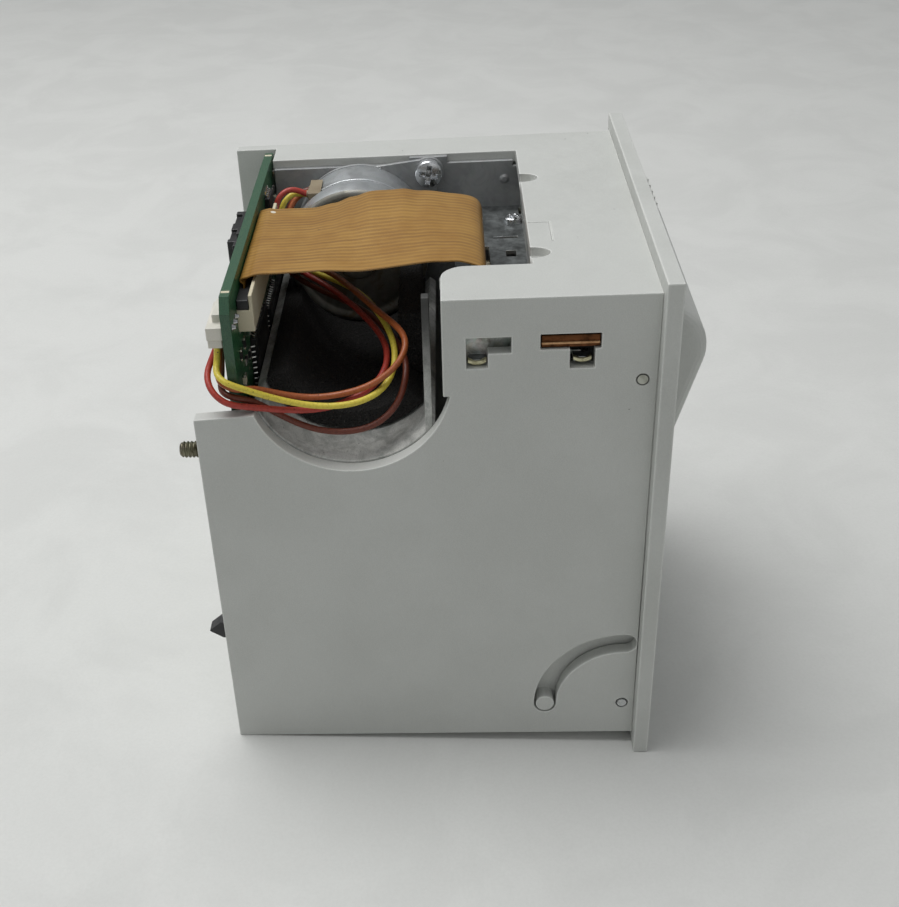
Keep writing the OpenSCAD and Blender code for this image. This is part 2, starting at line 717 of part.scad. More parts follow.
// Aluminium bar that carries the print head, turning on the pivot
module heat_sink() {
    place() color("#c3c6c8") difference() {
        along_x(head_x0, head_len) difference() {
            translate([head_face_y + head_t, sink_low]) square([sink_t, sink_high - sink_low]);
            translate([head_pivot_y, head_pivot_z]) circle(head_pivot_r + run);
        }
        for (i = [0:2]) block([head_x0 + 5, head_face_y + head_t + sink_t - 1.2, 66 + i * 3.4],
            [head_x0 + head_len - 5, head_face_y + 9, 67.4 + i * 3.4]);
    }
}

// Ceramic plate with the line of heating dots
module print_head() {
    place() color("#dcd9cf") {
        block([head_x0 + 0.4, head_face_y, 64], [head_x0 + head_len - 0.4, head_face_y + head_t, 78.6]);
    }
}

// The room that the two coil springs behind the heat sink fill when pressed
module head_springs() {
    place() color(steel) for (x = [-18, 13]) translate([x, 15.35, 69.4]) rotate([90, 0, 0]) difference() {
        cylinder(r = 1.95, h = 6);
        translate([0, 0, -1]) cylinder(r = 1.45, h = 8);
    }
}

module head_connector() {
    place() color("#e6e2d6") difference() {
        block([flex_x0 - 1.6, 23.4, 68.4], [flex_x0 + flex_w + 1.6, 27.4, 74.6]);
        block([flex_x0 - 0.2, 25.2, 73.2], [flex_x0 + flex_w + 0.2, 25.8, 75]);
        block([flex_x0 + 0.8, 24.2, 69.4], [flex_x0 + flex_w - 0.8, 25, 73.4]);
    }
}

// Small screws that hold the carrier's deck
module carrier_screws() {
    place() color(steel) for (x = carrier_screw_x) translate([x, 19.6, carrier_z + sheet_t]) {
        rotate_extrude() polygon([[0, 0], [1.72, 0], [1.72, 0.6], [1.3, 1.2], [0.7, 1.4], [0, 1.4]]);
        translate([0, 0, -sheet_t - 2]) cylinder(r = 1, h = 2.02);
    }
}

// Reflective sensor on the carrier's back plate that looks down at the paper
module paper_sensor() {
    place() color(dark_plastic) {
        block([-4, 16.2, 59.4], [4, 18.6, 64]);
        for (x = [-2.6, 0.4]) block([x, 16.6, 59], [x + 2.2, 18.2, 59.5]);
    }
}

// ---- controller board ----

module controller_board() {
    place() color("#2f5a3c") translate([0, board_back, 0]) rotate([90, 0, 0]) linear_extrude(board_t)
        difference() {
            polygon([[board_x0, board_low], [board_x0 + board_w, board_low],
                [board_x0 + board_w, housing_h - 1.2], [board_x0 + board_w - 1.2, housing_h],
                [board_x0 + 1.6, housing_h], [board_x0, housing_h - 2.4]]);
            for (x = [board_x0 + 4, board_x0 + board_w - 4]) translate([x, 30]) circle(1.6);
        }
}

// Packages on the front face: [low x, low z, high x, high z, height]
chips = [[14.2, 58, 23.6, 68, 1.1], [0, 57, 13, 70, 1.3], [-19, 59.5, -5, 73.5, 1.3],
    [14.4, 80.5, 20, 85.5, 1], [-2, 44, 12, 53, 1.4]];
module board_chips() {
    place() color(dark_plastic) for (c = chips)
        block([c[0], board_y - c[4], c[1]], [c[2], board_y, c[3]]);
}

module board_capacitors() {
    place() color("#3a3f52") for (p = [[-26, 38], [-17, 38], [18, 38]])
        translate([p[0], board_back, p[1]]) rotate([-90, 0, 0]) {
            cylinder(r = 2, h = 3);
        }
}

// Body and lock of the socket that grips the flex
module flex_socket() {
    end_x = socket_x0 + socket_w;
    place() color("#e2dccb") difference() {
        union() {
            block([socket_x0, socket_y, socket_low], [end_x, board_y, socket_high]);
            block([socket_x0, socket_y, socket_low], [end_x, socket_y + 0.6, socket_wall_z]);
        }
        block([flex_x0 - 0.4, flex_slot_y, 80.2], [flex_x0 + flex_w + 0.4, flex_slot_y + flex_slot_t, 84]);
    }
}

module flex_lock() {
    place() color(dark_plastic) difference() {
        block([socket_x0 + 0.2, socket_y + 0.7, socket_high],
            [socket_x0 + socket_w - 0.2, board_y - 0.1, socket_high + lock_t]);
        block([flex_x0 - 0.4, flex_slot_y, socket_high - 1],
            [flex_x0 + flex_w + 0.4, flex_slot_y + flex_slot_t, 88]);
    }
}

module rear_connector() {
    place() color(dark_plastic) difference() {
        block([-0.5, board_back, 76], [14, board_back + 3.6, 83.5]);
        block([0.7, board_back + 1, 77.4], [12.8, board_back + 5, 82]);
        for (x = [0.8, 8.2]) block([x, board_back + 2.4, 82.9], [x + 4.4, board_back + 5, 84]);
    }
}

module motor_header() {
    place() color("#ece8dc") {
        block([-34.4, board_back, 81], [-24.4, board_back + 2.6, 83.2]);
        block([-32.4, board_back, 83.1], [-26.4, board_back + 1.7, 84.6]);
    }
}

module motor_plug() {
    place() color("#ece8dc") difference() {
        block([-34.2, board_back + 0.2, 79.6], [-25.2, board_back + 2.5, 81]);
        block([-33, board_back + 2.1, 79], [-26.6, board_back + 3, 80.6]);
    }
}

module flex_cable() { place() color("#b5823c") ribbon(flex_x0, flex_w, flex_line, flex_t); }

module lead_yellow() { place() color("#d8cf3f") lead(route_yellow); }
module lead_red() { place() color("#a8362b") lead(route_red); }
module lead_orange() { place() color("#b8602a") lead(route_orange); }
module lead_brown() { place() color("#5d2f1a") lead(route_brown); }

// ---- back of the housing ----

module rear_studs() {
    place() color("#6f705f") for (s = [-1, 1])
        translate([s * stud_x, housing_d, stud_z]) rotate([-90, 0, 0]) {
            translate([0, 0, -wall - 1]) cylinder(r = stud_body_r, h = wall + 1);
            translate([0, 0, -0.5]) cylinder(r = stud_r - 0.17, h = 0.5 + stud_neck + eps);
            translate([0, 0, stud_neck]) cylinder(r = stud_r, h = stud_tip - housing_d - stud_neck);
        }
}

module rear_catch() {
    place() color(dark_plastic) along_x(-side_x + 2.2, 2.9) polygon([[housing_d, 21.9], [housing_d, 25.6],
        [housing_d + 0.9, 25.5], [housing_d + 3.3, 23.5], [housing_d + 0.9, 21.9]]);
}

housing();
bezel();
door();
hinge_pins();
latch_pins();
release_button();
button_spring();
tear_bar();
platen_rubber();
platen_shaft();
platen_bushes();
platen_gear();
transfer_shaft();
transfer_wheel();
transfer_gear();
transfer_bush();
idler_gear_1();
idler_gear_2();
idler_studs();
gear_plate();
motor_can();
motor_flange();
motor_bearing_cap();
motor_lead_block();
motor_shaft();
motor_pinion();
motor_screws();
motor_trough();
foam_liner();
bay_partition();
paper_tray();
head_carrier();
head_pivot();
heat_sink();
print_head();
head_springs();
head_connector();
carrier_screws();
paper_sensor();
controller_board();
board_chips();
board_capacitors();
flex_socket();
flex_lock();
rear_connector();
motor_header();
motor_plug();
flex_cable();
lead_yellow();
lead_red();
lead_orange();
lead_brown();
rear_studs();
rear_catch();
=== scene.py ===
"""Looks of the panel-mount thermal chart recorder module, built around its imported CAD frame.

Lengths are in millimetres in the working frame of part.scad (x from the middle, y back from the panel
face, z up from the housing's underside). at() turns them into metres in the part frame.
"""

import math
import random

import bmesh
import bpy
from mathutils import Matrix, Vector, noise


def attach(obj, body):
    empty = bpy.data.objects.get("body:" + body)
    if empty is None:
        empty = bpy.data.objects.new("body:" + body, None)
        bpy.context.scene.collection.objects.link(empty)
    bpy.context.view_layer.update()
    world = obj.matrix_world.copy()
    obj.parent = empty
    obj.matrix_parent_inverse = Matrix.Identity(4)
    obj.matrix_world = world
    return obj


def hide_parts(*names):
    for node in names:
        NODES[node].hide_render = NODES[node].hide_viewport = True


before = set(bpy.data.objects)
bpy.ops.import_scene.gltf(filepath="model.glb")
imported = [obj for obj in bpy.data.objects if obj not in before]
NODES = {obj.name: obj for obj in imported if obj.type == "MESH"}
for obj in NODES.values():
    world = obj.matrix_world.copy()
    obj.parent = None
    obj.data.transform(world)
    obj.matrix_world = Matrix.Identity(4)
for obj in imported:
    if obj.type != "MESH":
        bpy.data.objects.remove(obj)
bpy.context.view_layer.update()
SCENE = bpy.context.scene
MM = 0.001
PANEL_Y = 33.7
UNDERSIDE_Z = 2.6
HALF_WIDTH = 37.4
HOUSING_DEPTH = 73


def at(x, y, z):
    """A point of the working frame, in millimetres, as metres in the part frame."""
    return Vector((x, y - PANEL_Y, z + UNDERSIDE_Z)) * MM


# ---------------------------------------------------------------- camera

CAMERA_PLACE = Vector((-217.7, -2.6, 174.7))
FORWARD = Vector((0.82798, 0.07547, -0.55566)).normalized()
RIGHT = Vector((0.04996, -0.99689, -0.06094)).normalized()
UP = RIGHT.cross(FORWARD).normalized()

camera_data = bpy.data.cameras.new("camera")
camera = bpy.data.objects.new("camera", camera_data)
SCENE.collection.objects.link(camera)
turned_camera = Matrix((RIGHT, UP, -FORWARD)).transposed().to_4x4()
camera.matrix_world = Matrix.Translation(CAMERA_PLACE * MM) @ turned_camera
camera_data.lens, camera_data.sensor_width = 52.13, 36
camera_data.shift_x, camera_data.shift_y = 0.1005, 0.0597
camera_data.clip_start, camera_data.clip_end = 0.005, 20
SCENE.camera = camera
SCENE.view_settings.view_transform = "Standard"

# ---------------------------------------------------------------- materials


def linear(red, green, blue):
    """An sRGB colour from 0 to 255 as the linear colour that a shader takes."""

    def one(value):
        value /= 255
        return value / 12.92 if value <= 0.04045 else ((value + 0.055) / 1.055) ** 2.4

    return (one(red), one(green), one(blue), 1.0)


class Finish:
    """A Principled material whose patterns are laid out in millimetres of the part."""

    def __init__(self, name, rough=0.5, metal=0.0, **sockets):
        self.material = bpy.data.materials.new(name)
        self.material.use_nodes = True
        self.tree = self.material.node_tree
        self.shader = self.tree.nodes["Principled BSDF"]
        self.shader.inputs["Roughness"].default_value = rough
        self.shader.inputs["Metallic"].default_value = metal
        for socket, value in sockets.items():
            self.shader.inputs[socket.replace("_", " ")].default_value = value
        self.coordinates = self.tree.nodes.new("ShaderNodeTexCoord")
        self.space = self.stretched(1, 1, 1)
        self.bumps = None

    def node(self, kind, inputs=(), **settings):
        made = self.tree.nodes.new("ShaderNode" + kind)
        for key, value in settings.items():
            setattr(made, key, value)
        for key, value in dict(inputs).items():
            if isinstance(value, bpy.types.NodeSocket):
                self.tree.links.new(value, made.inputs[key])
            else:
                made.inputs[key].default_value = value
        return made

    def stretched(self, x, y, z):
        """Object coordinates in millimetres, with each axis multiplied."""
        scale = (x / MM, y / MM, z / MM)
        return self.node("Mapping", {"Vector": self.coordinates.outputs["Object"], "Scale": scale}).outputs["Vector"]

    def noise(self, scale, detail=3.0, rough=0.55, distort=0.0, space=None):
        inputs = {"Vector": space or self.space, "Scale": scale, "Detail": detail}
        inputs |= {"Roughness": rough, "Distortion": distort}
        return self.node("TexNoise", inputs).outputs["Fac"]

    def cells(self, scale, feature="F1", output="Distance", space=None, random_=1.0):
        inputs = {"Vector": space or self.space, "Scale": scale, "Randomness": random_}
        return self.node("TexVoronoi", inputs, feature=feature).outputs[output]

    def span(self, value, low, high, to_low=0.0, to_high=1.0):
        """value from low..high mapped smoothly onto to_low..to_high, and held there outside."""
        inputs = {"Value": value, "From Min": low, "From Max": high, "To Min": to_low, "To Max": to_high}
        return self.node("MapRange", inputs, interpolation_type="SMOOTHSTEP").outputs["Result"]

    def math(self, operation, one, two=0.0):
        return self.node("Math", {0: one, 1: two}, operation=operation).outputs[0]

    def mix(self, share, one, two, blend="MIX"):
        made = self.node("Mix", data_type="RGBA", blend_type=blend, clamp_factor=True)
        for index, value in ((0, share), (6, one), (7, two)):
            if isinstance(value, bpy.types.NodeSocket):
                self.tree.links.new(value, made.inputs[index])
            else:
                made.inputs[index].default_value = value
        return made.outputs[2]

    def axis(self, index, space=None):
        split = self.node("SeparateXYZ", {"Vector": space or self.space})
        return split.outputs[index]

    def facing(self, index):
        """How much the surface faces along an axis of the part, 0 to 1."""
        split = self.node("SeparateXYZ", {"Vector": self.coordinates.outputs["Normal"]})
        return self.math("ABSOLUTE", split.outputs[index])

    def edges(self, radius=0.3):
        """1 on convex and concave edges within radius millimetres, 0 on flat faces."""
        rounded = self.node("Bevel", {"Radius": radius * MM}, samples=4)
        geometry = self.node("NewGeometry")
        dot = self.node(
            "VectorMath", {0: rounded.outputs[0], 1: geometry.outputs["Normal"]}, operation="DOT_PRODUCT"
        )
        return self.span(dot.outputs["Value"], 0.99, 0.86)

    def specks(self, scale, size, share):
        """Small irregular dots: scale cells per millimetre, and the share of cells that hold one."""
        warped = self.node(
            "VectorMath",
            {0: self.space, 1: self.node("TexNoise", {"Vector": self.space, "Scale": 2.2}).outputs["Color"]},
            operation="ADD",
        ).outputs[0]
        cell = self.node("TexVoronoi", {"Vector": warped, "Scale": scale})
        chosen = self.math("GREATER_THAN", self.axis(0, cell.outputs["Color"]), 1 - share)
        dot = self.span(cell.outputs["Distance"], size, size * 0.6)
        return self.math("MULTIPLY", dot, chosen)

    def colour(self, value):
        if isinstance(value, bpy.types.NodeSocket):
            self.tree.links.new(value, self.shader.inputs["Base Color"])
        else:
            self.shader.inputs["Base Color"].default_value = value

    def rough(self, value, low, high, lowest=0.3, highest=0.7):
        self.tree.links.new(self.span(value, lowest, highest, low, high), self.shader.inputs["Roughness"])

    def bump(self, height, depth, strength=1.0):
        """Adds a bump of depth millimetres on top of those made before."""
        inputs = {"Height": height, "Distance": depth * MM, "Strength": strength}
        if self.bumps:
            inputs["Normal"] = self.bumps
        self.bumps = self.node("Bump", inputs).outputs["Normal"]
        self.tree.links.new(self.bumps, self.shader.inputs["Normal"])


def moulded(
    name, base, dark, light, rough=0.45, grain=7.0, depth=0.012, dirt=0.5, blotch=0.5, wear_and_highlight=0.3, edge=0.22
):
    """Moulded plastic: fine grain, slow tone drift, dirt specks, and lighter edges that are partly wear and partly
    painted highlight.
    """
    made = Finish(name, rough)
    drift = made.noise(0.05, 4, 0.6)
    tone = made.mix(made.span(drift, 0.35, 0.68, 0, blotch), base, dark)
    fine = made.noise(grain, 2, 0.6)
    tone = made.mix(made.span(fine, 0.35, 0.65, 0, 0.16), tone, light)
    smear = made.noise(0.5, 5, 0.7, 0.6, made.stretched(1, 1, 0.35))
    tone = made.mix(made.span(smear, 0.58, 0.8, 0, 0.25 * dirt), tone, dark)
    spots = made.specks(0.35, 0.075, 0.35 * dirt)
    tone = made.mix(spots, tone, tuple(0.22 * c for c in dark[:3]) + (1,))
    # Lighter edges: partly wear, partly painted highlight along the rounded edges.
    if wear_and_highlight:
        tone = made.mix(made.math("MULTIPLY", made.edges(edge), wear_and_highlight), tone, light)
    made.colour(tone)
    made.rough(made.noise(0.9, 4, 0.6), rough - 0.06, rough + 0.1)
    made.bump(fine, depth, 0.5)
    made.bump(made.noise(0.7, 2, 0.5), 0.05, 0.15)
    return made.material


def sheet_metal(
    name, base, dark, rough=0.32, spangle=0.5, brushed=None, scratches=0.3, stain=None, grain=0.3, metal=1.0,
    flat=None,
):
    """Plated sheet: cloudy plating, fine grain, hairline scratches, optional stains and an optional painted shade on
    faces turned up or down.
    """
    made = Finish(name, rough, metal=metal)
    cloud = made.noise(0.22, 5, 0.65, 0.8)
    tone = made.mix(made.span(cloud, 0.34, 0.68), base, dark)
    crystals = made.cells(0.9, output="Color")
    tone = made.mix(0.18 * spangle, tone, crystals, "SOFT_LIGHT")
    fine = made.noise(9, 2, 0.7, space=made.stretched(*brushed) if brushed else None)
    tone = made.mix(made.span(fine, 0.3, 0.7, 0, grain), tone, dark)
    if stain:
        blot = made.noise(0.16, 5, 0.7, 1.2)
        tone = made.mix(made.span(blot, 0.52, 0.66, 0, 0.75), tone, stain)
    # Faces turned up or down take the flat tone with a darker mottle: the mottle is the sheet's own, the flat tone is
    # painted shade on the deck.
    if flat:
        darker = tuple(0.5 * c for c in flat[:3]) + (1,)
        mottled_top_shade = made.mix(made.span(made.noise(0.4, 5, 0.7, 0.15), 0.36, 0.64), flat, darker)
        tone = made.mix(made.span(made.facing(2), 0.6, 0.85), tone, mottled_top_shade)
    pits = made.specks(0.9, 0.09, 0.22)
    tone = made.mix(made.math("MULTIPLY", pits, 0.7), tone, tuple(0.2 * c for c in dark[:3]) + (1,))
    made.colour(tone)
    made.rough(cloud, rough - 0.08, rough + 0.16)
    made.bump(fine, 0.006, 0.4)
    hair = made.noise(1.0, 2, 0.5, space=made.stretched(0.25, 9, 9))
    made.bump(made.span(hair, 0.62, 0.72), 0.006, scratches)
    made.bump(cloud, 0.05, 0.12)
    return made.material


def turned(name, base, dark, rough=0.16, tint=0.3):
    """Turned or drawn bright metal with a faint fine-grain bump and smudges."""
    made = Finish(name, rough, metal=1.0)
    smudge = made.noise(0.8, 4, 0.6, 0.5)
    made.colour(made.mix(made.span(smudge, 0.4, 0.72, 0, tint), base, dark))
    made.rough(smudge, rough - 0.05, rough + 0.12)
    made.bump(made.noise(14, 2, 0.6), 0.003, 0.4)
    return made.material


GREY = linear(196, 198, 194)
GREY_DARK = linear(176, 178, 173)
GREY_LIGHT = linear(246, 247, 243)

housing_plastic = moulded("housing_grey", GREY, GREY_DARK, GREY_LIGHT, 0.42, wear_and_highlight=0.85, edge=0.35, blotch=0.3)
bezel_plastic = moulded("frame_grey", GREY, GREY_DARK, linear(244, 245, 241), 0.42, wear_and_highlight=1.0, edge=0.4)
door_plastic = moulded(
    "door_grey", linear(200, 202, 198), linear(184, 186, 181), GREY_LIGHT, 0.4, wear_and_highlight=0.8, edge=0.3, blotch=0.3
)
natural_plastic = moulded(
    "natural_nylon", linear(222, 214, 190), linear(196, 184, 152), linear(236, 230, 212), 0.38, 5, 0.006, 0.25, 0.7, 0.2
)
white_plastic = moulded(
    "white_nylon", linear(228, 226, 218), linear(204, 200, 186), linear(242, 240, 234), 0.4, 5, 0.006, 0.3, 0.7, 0.2
)
aged_plastic = moulded(
    "aged_nylon", linear(158, 146, 122), linear(122, 106, 82), linear(184, 174, 152), 0.5, 5, 0.01, 0.5, 0.9, 0.2
)
black_plastic = moulded(
    "black_plastic", linear(38, 38, 40), linear(28, 28, 29), linear(62, 62, 64), 0.4, 8, 0.01, 0.1, 0.6, 0.4
)


def trough_finish():
    made = Finish("trough_grey", 0.5)
    cloud = made.noise(0.28, 6, 0.7, 0.7)
    tone = made.mix(made.span(cloud, 0.36, 0.66), linear(204, 205, 201), linear(160, 162, 158))
    fine = made.noise(5, 3, 0.7)
    tone = made.mix(made.span(fine, 0.45, 0.75, 0, 0.45), tone, linear(96, 97, 93))
    tone = made.mix(made.specks(0.8, 0.12, 0.3), tone, linear(52, 50, 46))
    # Darker towards the top, from 70 to 88 mm, almost black there: painted shade where the housing shades the upper
    # trough and its fin.
    tone = made.mix(made.span(made.axis(2), 70, 88, 0, 0.94), tone, linear(34, 34, 33))
    made.colour(tone)
    made.rough(fine, 0.4, 0.62)
    made.bump(fine, 0.02, 0.5)
    return made.material


trough_plastic = trough_finish()

zinc_steel = sheet_metal(
    "zinc_sheet", linear(218, 219, 216), linear(160, 162, 158), 0.44, stain=linear(128, 124, 112)
)
plate_steel = sheet_metal(
    "gear_plate_sheet", linear(176, 178, 178), linear(154, 156, 157), 0.5, 0.12, scratches=0.1, grain=0.1, metal=0.5
)
can_steel = sheet_metal(
    "motor_can_zinc", linear(222, 225, 226), linear(186, 190, 192), 0.42, 0.15, (0.2, 1, 1), 0.15, grain=0.12
)
carrier_steel = sheet_metal(
    "carrier_zinc", linear(218, 219, 216), linear(160, 162, 158), 0.46, 0.8, stain=linear(128, 124, 112),
    flat=linear(132, 136, 136), metal=0.85,
)
disc_steel = sheet_metal(
    "motor_disc_zinc", linear(150, 148, 140), linear(124, 122, 113), 0.5, 0.2, stain=linear(112, 92, 64), metal=0.4
)
chrome = turned("bright_plating", linear(232, 234, 236), linear(206, 208, 212), 0.17, 0.15)
plated_steel = turned("plated_steel", linear(206, 208, 208), linear(140, 142, 142), 0.2, 0.5)
yellowed_steel = sheet_metal(
    "yellowed_zinc", linear(168, 164, 142), linear(104, 100, 84), 0.34, 0.2, stain=linear(66, 62, 44), scratches=0
)
pin_steel = turned("cut_pin_steel", linear(186, 187, 178), linear(150, 150, 136), 0.45, 0.5)
lip_steel = turned("lip_plating", linear(226, 222, 186), linear(150, 142, 104), 0.34, 0.7)
dark_copper = turned("aged_copper", linear(112, 72, 46), linear(54, 34, 22), 0.42, 0.7)
spring_steel = turned("spring_steel", linear(176, 178, 180), linear(110, 112, 114), 0.24, 0.5)
brass = turned("brass", linear(214, 186, 112), linear(150, 120, 62), 0.24, 0.6)
aluminium = sheet_metal(
    "sawn_aluminium", linear(206, 208, 210), linear(170, 172, 174), 0.34, 0.1, (0.15, 3, 3), scratches=0.5, grain=0.3
)
# Lighter copper for the strap's raised band: a painted highlight.
highlight_copper = turned("copper_strip", linear(204, 164, 124), linear(142, 98, 66), 0.36, 0.6)
tin = turned("tinned_leads", linear(214, 214, 208), linear(150, 150, 144), 0.22, 0.4)
solder = turned("solder", linear(196, 198, 200), linear(140, 142, 146), 0.2, 0.4)


def rubber_finish():
    made = Finish("platen_rubber", 0.62)
    fine = made.noise(9, 3, 0.7)
    made.colour(made.mix(made.span(fine, 0.4, 0.7), linear(40, 40, 42), linear(64, 63, 62)))
    made.rough(fine, 0.5, 0.75)
    made.bump(fine, 0.02, 0.7)
    ground = made.noise(3, 2, 0.6, space=made.stretched(4, 0.4, 0.4))
    made.bump(ground, 0.012, 0.4)
    return made.material


def foam_finish():
    made = Finish("black_foam", 0.95)
    pores = made.cells(2.6)
    fine = made.noise(4.5, 4, 0.8)
    tone = made.mix(made.span(pores, 0.05, 0.55), linear(10, 9, 9), linear(40, 39, 38))
    lumps = made.noise(1.5, 3, 0.75)
    tone = made.mix(made.span(lumps, 0.6, 0.68, 0, 0.55), tone, linear(92, 91, 88))
    tone = made.mix(made.span(fine, 0.64, 0.74, 0, 0.45), tone, linear(80, 79, 77))
    made.bump(lumps, 0.35, 0.7)
    made.colour(tone)
    made.rough(fine, 0.88, 1.0)
    made.bump(pores, 0.3, 0.8)
    made.bump(fine, 0.12, 0.6)
    return made.material


def ceramic_finish():
    made = Finish("head_ceramic", 0.28)
    fine = made.noise(6, 3, 0.6)
    tone = made.mix(made.span(fine, 0.4, 0.7), linear(226, 222, 210), linear(206, 200, 184))
    combs = made.node(
        "TexWave",
        {"Vector": made.space, "Scale": 1.1, "Distortion": 0.0},
        wave_type="BANDS",
        bands_direction="X",
    ).outputs["Fac"]
    low = made.span(made.axis(2), 71.0, 71.4, 1, 0)
    lines = made.math("MULTIPLY", made.span(combs, 0.45, 0.6), low)
    made.colour(made.mix(made.math("MULTIPLY", lines, 0.7), tone, linear(176, 142, 84)))
    made.rough(fine, 0.2, 0.36)
    made.bump(lines, 0.01, 0.4)
    return made.material


def board_finish():
    """Green solder mask over tracks and vias on both faces, and a dull fibreglass edge."""
    made = Finish("circuit_board", 0.32)
    face = made.span(made.facing(1), 0.55, 0.75)
    fine = made.noise(7, 3, 0.6)
    mask = made.mix(made.span(made.noise(0.12, 4, 0.6), 0.35, 0.7), linear(38, 92, 58), linear(30, 74, 48))
    flat = made.stretched(1, 0, 1)
    swapped = made.node("CombineXYZ", {"X": made.axis(2, flat), "Y": made.axis(0, flat)}).outputs[0]
    level = made.node("CombineXYZ", {"X": made.axis(0, flat), "Y": made.axis(2, flat)}).outputs[0]
    tracks = None
    for vector, width, row, line in ((level, 5.2, 0.85, 0.16), (swapped, 7.4, 1.3, 0.18)):
        inputs = {"Vector": vector, "Scale": 1.0, "Mortar Size": line, "Mortar Smooth": 0.3}
        inputs |= {"Brick Width": width, "Row Height": row}
        brick = made.node("TexBrick", inputs, offset=0.37).outputs["Fac"]
        tracks = brick if tracks is None else made.math("MAXIMUM", tracks, brick)
    region = made.span(made.noise(0.09, 2, 0.5, space=flat), 0.45, 0.52)
    tracks = made.math("MULTIPLY", tracks, region)
    mask = made.mix(made.math("MULTIPLY", tracks, 0.55), mask, linear(72, 132, 84))
    vias = made.span(made.cells(0.42, space=flat, random_=0.8), 0.16, 0.12)
    mask = made.mix(vias, mask, linear(176, 172, 140))
    glass = made.mix(made.span(fine, 0.35, 0.7), linear(60, 98, 74), linear(40, 72, 54))
    weave = made.noise(3.0, 2, 0.5, space=made.stretched(0.3, 6, 0.3))
    glass = made.mix(made.span(weave, 0.5, 0.7, 0, 0.4), glass, linear(92, 112, 80))
    made.colour(made.mix(face, glass, mask))
    made.rough(fine, 0.26, 0.5)
    made.bump(made.math("MULTIPLY", tracks, face), 0.03, 0.6)
    made.bump(fine, 0.006, 0.3)
    return made.material


def flex_finish():
    """Amber film over fine parallel tracks that run along the ribbon."""
    made = Finish("flex_amber", 0.42, Coat_Weight=0.2, Coat_Roughness=0.35)
    wander = made.noise(0.06, 2, 0.5, space=made.stretched(0.3, 1, 0.3))
    shifted = made.math("ADD", made.axis(0), made.math("MULTIPLY", wander, 0.9))
    lanes = made.math("FRACT", made.math("MULTIPLY", shifted, 0.8))
    ridge = made.math("ABSOLUTE", made.math("SUBTRACT", lanes, 0.5))
    track = made.span(ridge, 0.12, 0.3)
    cloud = made.noise(0.16, 4, 0.6)
    film = made.mix(made.span(cloud, 0.35, 0.7), linear(172, 130, 58), linear(158, 114, 42))
    patchy = made.span(made.noise(0.5, 3, 0.6, space=made.stretched(1, 0.12, 0.12)), 0.3, 0.7, 0.25, 0.75)
    film = made.mix(made.math("MULTIPLY", track, patchy), film, linear(124, 86, 32))
    fine = made.noise(6, 3, 0.6)
    film = made.mix(made.span(fine, 0.4, 0.7, 0, 0.12), film, linear(206, 170, 112))
    film = made.mix(made.specks(0.25, 0.06, 0.2), film, linear(90, 64, 34))
    along, back = (made.math("SUBTRACT", made.axis(i), v) for i, v in ((0, 4.9), (1, 62.7 - PANEL_Y)))
    spread = made.math("ADD", made.math("MULTIPLY", along, along), made.math("MULTIPLY", back, back))
    film = made.mix(made.span(spread, 0.16, 0.28, 1, 0), film, linear(226, 220, 204))
    made.colour(film)
    made.rough(fine, 0.3, 0.46)
    made.bump(track, 0.02, 0.4)
    made.bump(cloud, 0.25, 0.12)
    return made.material


def wire_finish(name, base, dark):
    made = Finish(name, 0.42, Coat_Weight=0.1)
    fine = made.noise(2.4, 4, 0.65)
    tone = made.mix(made.span(fine, 0.42, 0.72, 0, 0.6), base, dark)
    tone = made.mix(made.specks(1.3, 0.16, 0.35), tone, linear(34, 30, 24))
    made.colour(tone)
    made.rough(fine, 0.34, 0.56)
    made.bump(made.noise(5, 3, 0.6), 0.02, 0.4)
    return made.material


rubber = rubber_finish()
foam = foam_finish()
ceramic = ceramic_finish()
board_green = board_finish()
flex_amber = flex_finish()
WIRES = {
    "yellow": wire_finish("wire_yellow", linear(226, 208, 78), linear(188, 166, 52)),
    "red": wire_finish("wire_red", linear(178, 62, 50), linear(136, 40, 34)),
    "orange": wire_finish("wire_orange", linear(172, 92, 46), linear(132, 66, 34)),
    "brown": wire_finish("wire_brown", linear(112, 52, 34), linear(74, 32, 22)),
}

# ---------------------------------------------------------------- the four motor leads (cords come first)

LEAD_DIAMETER = 1.05
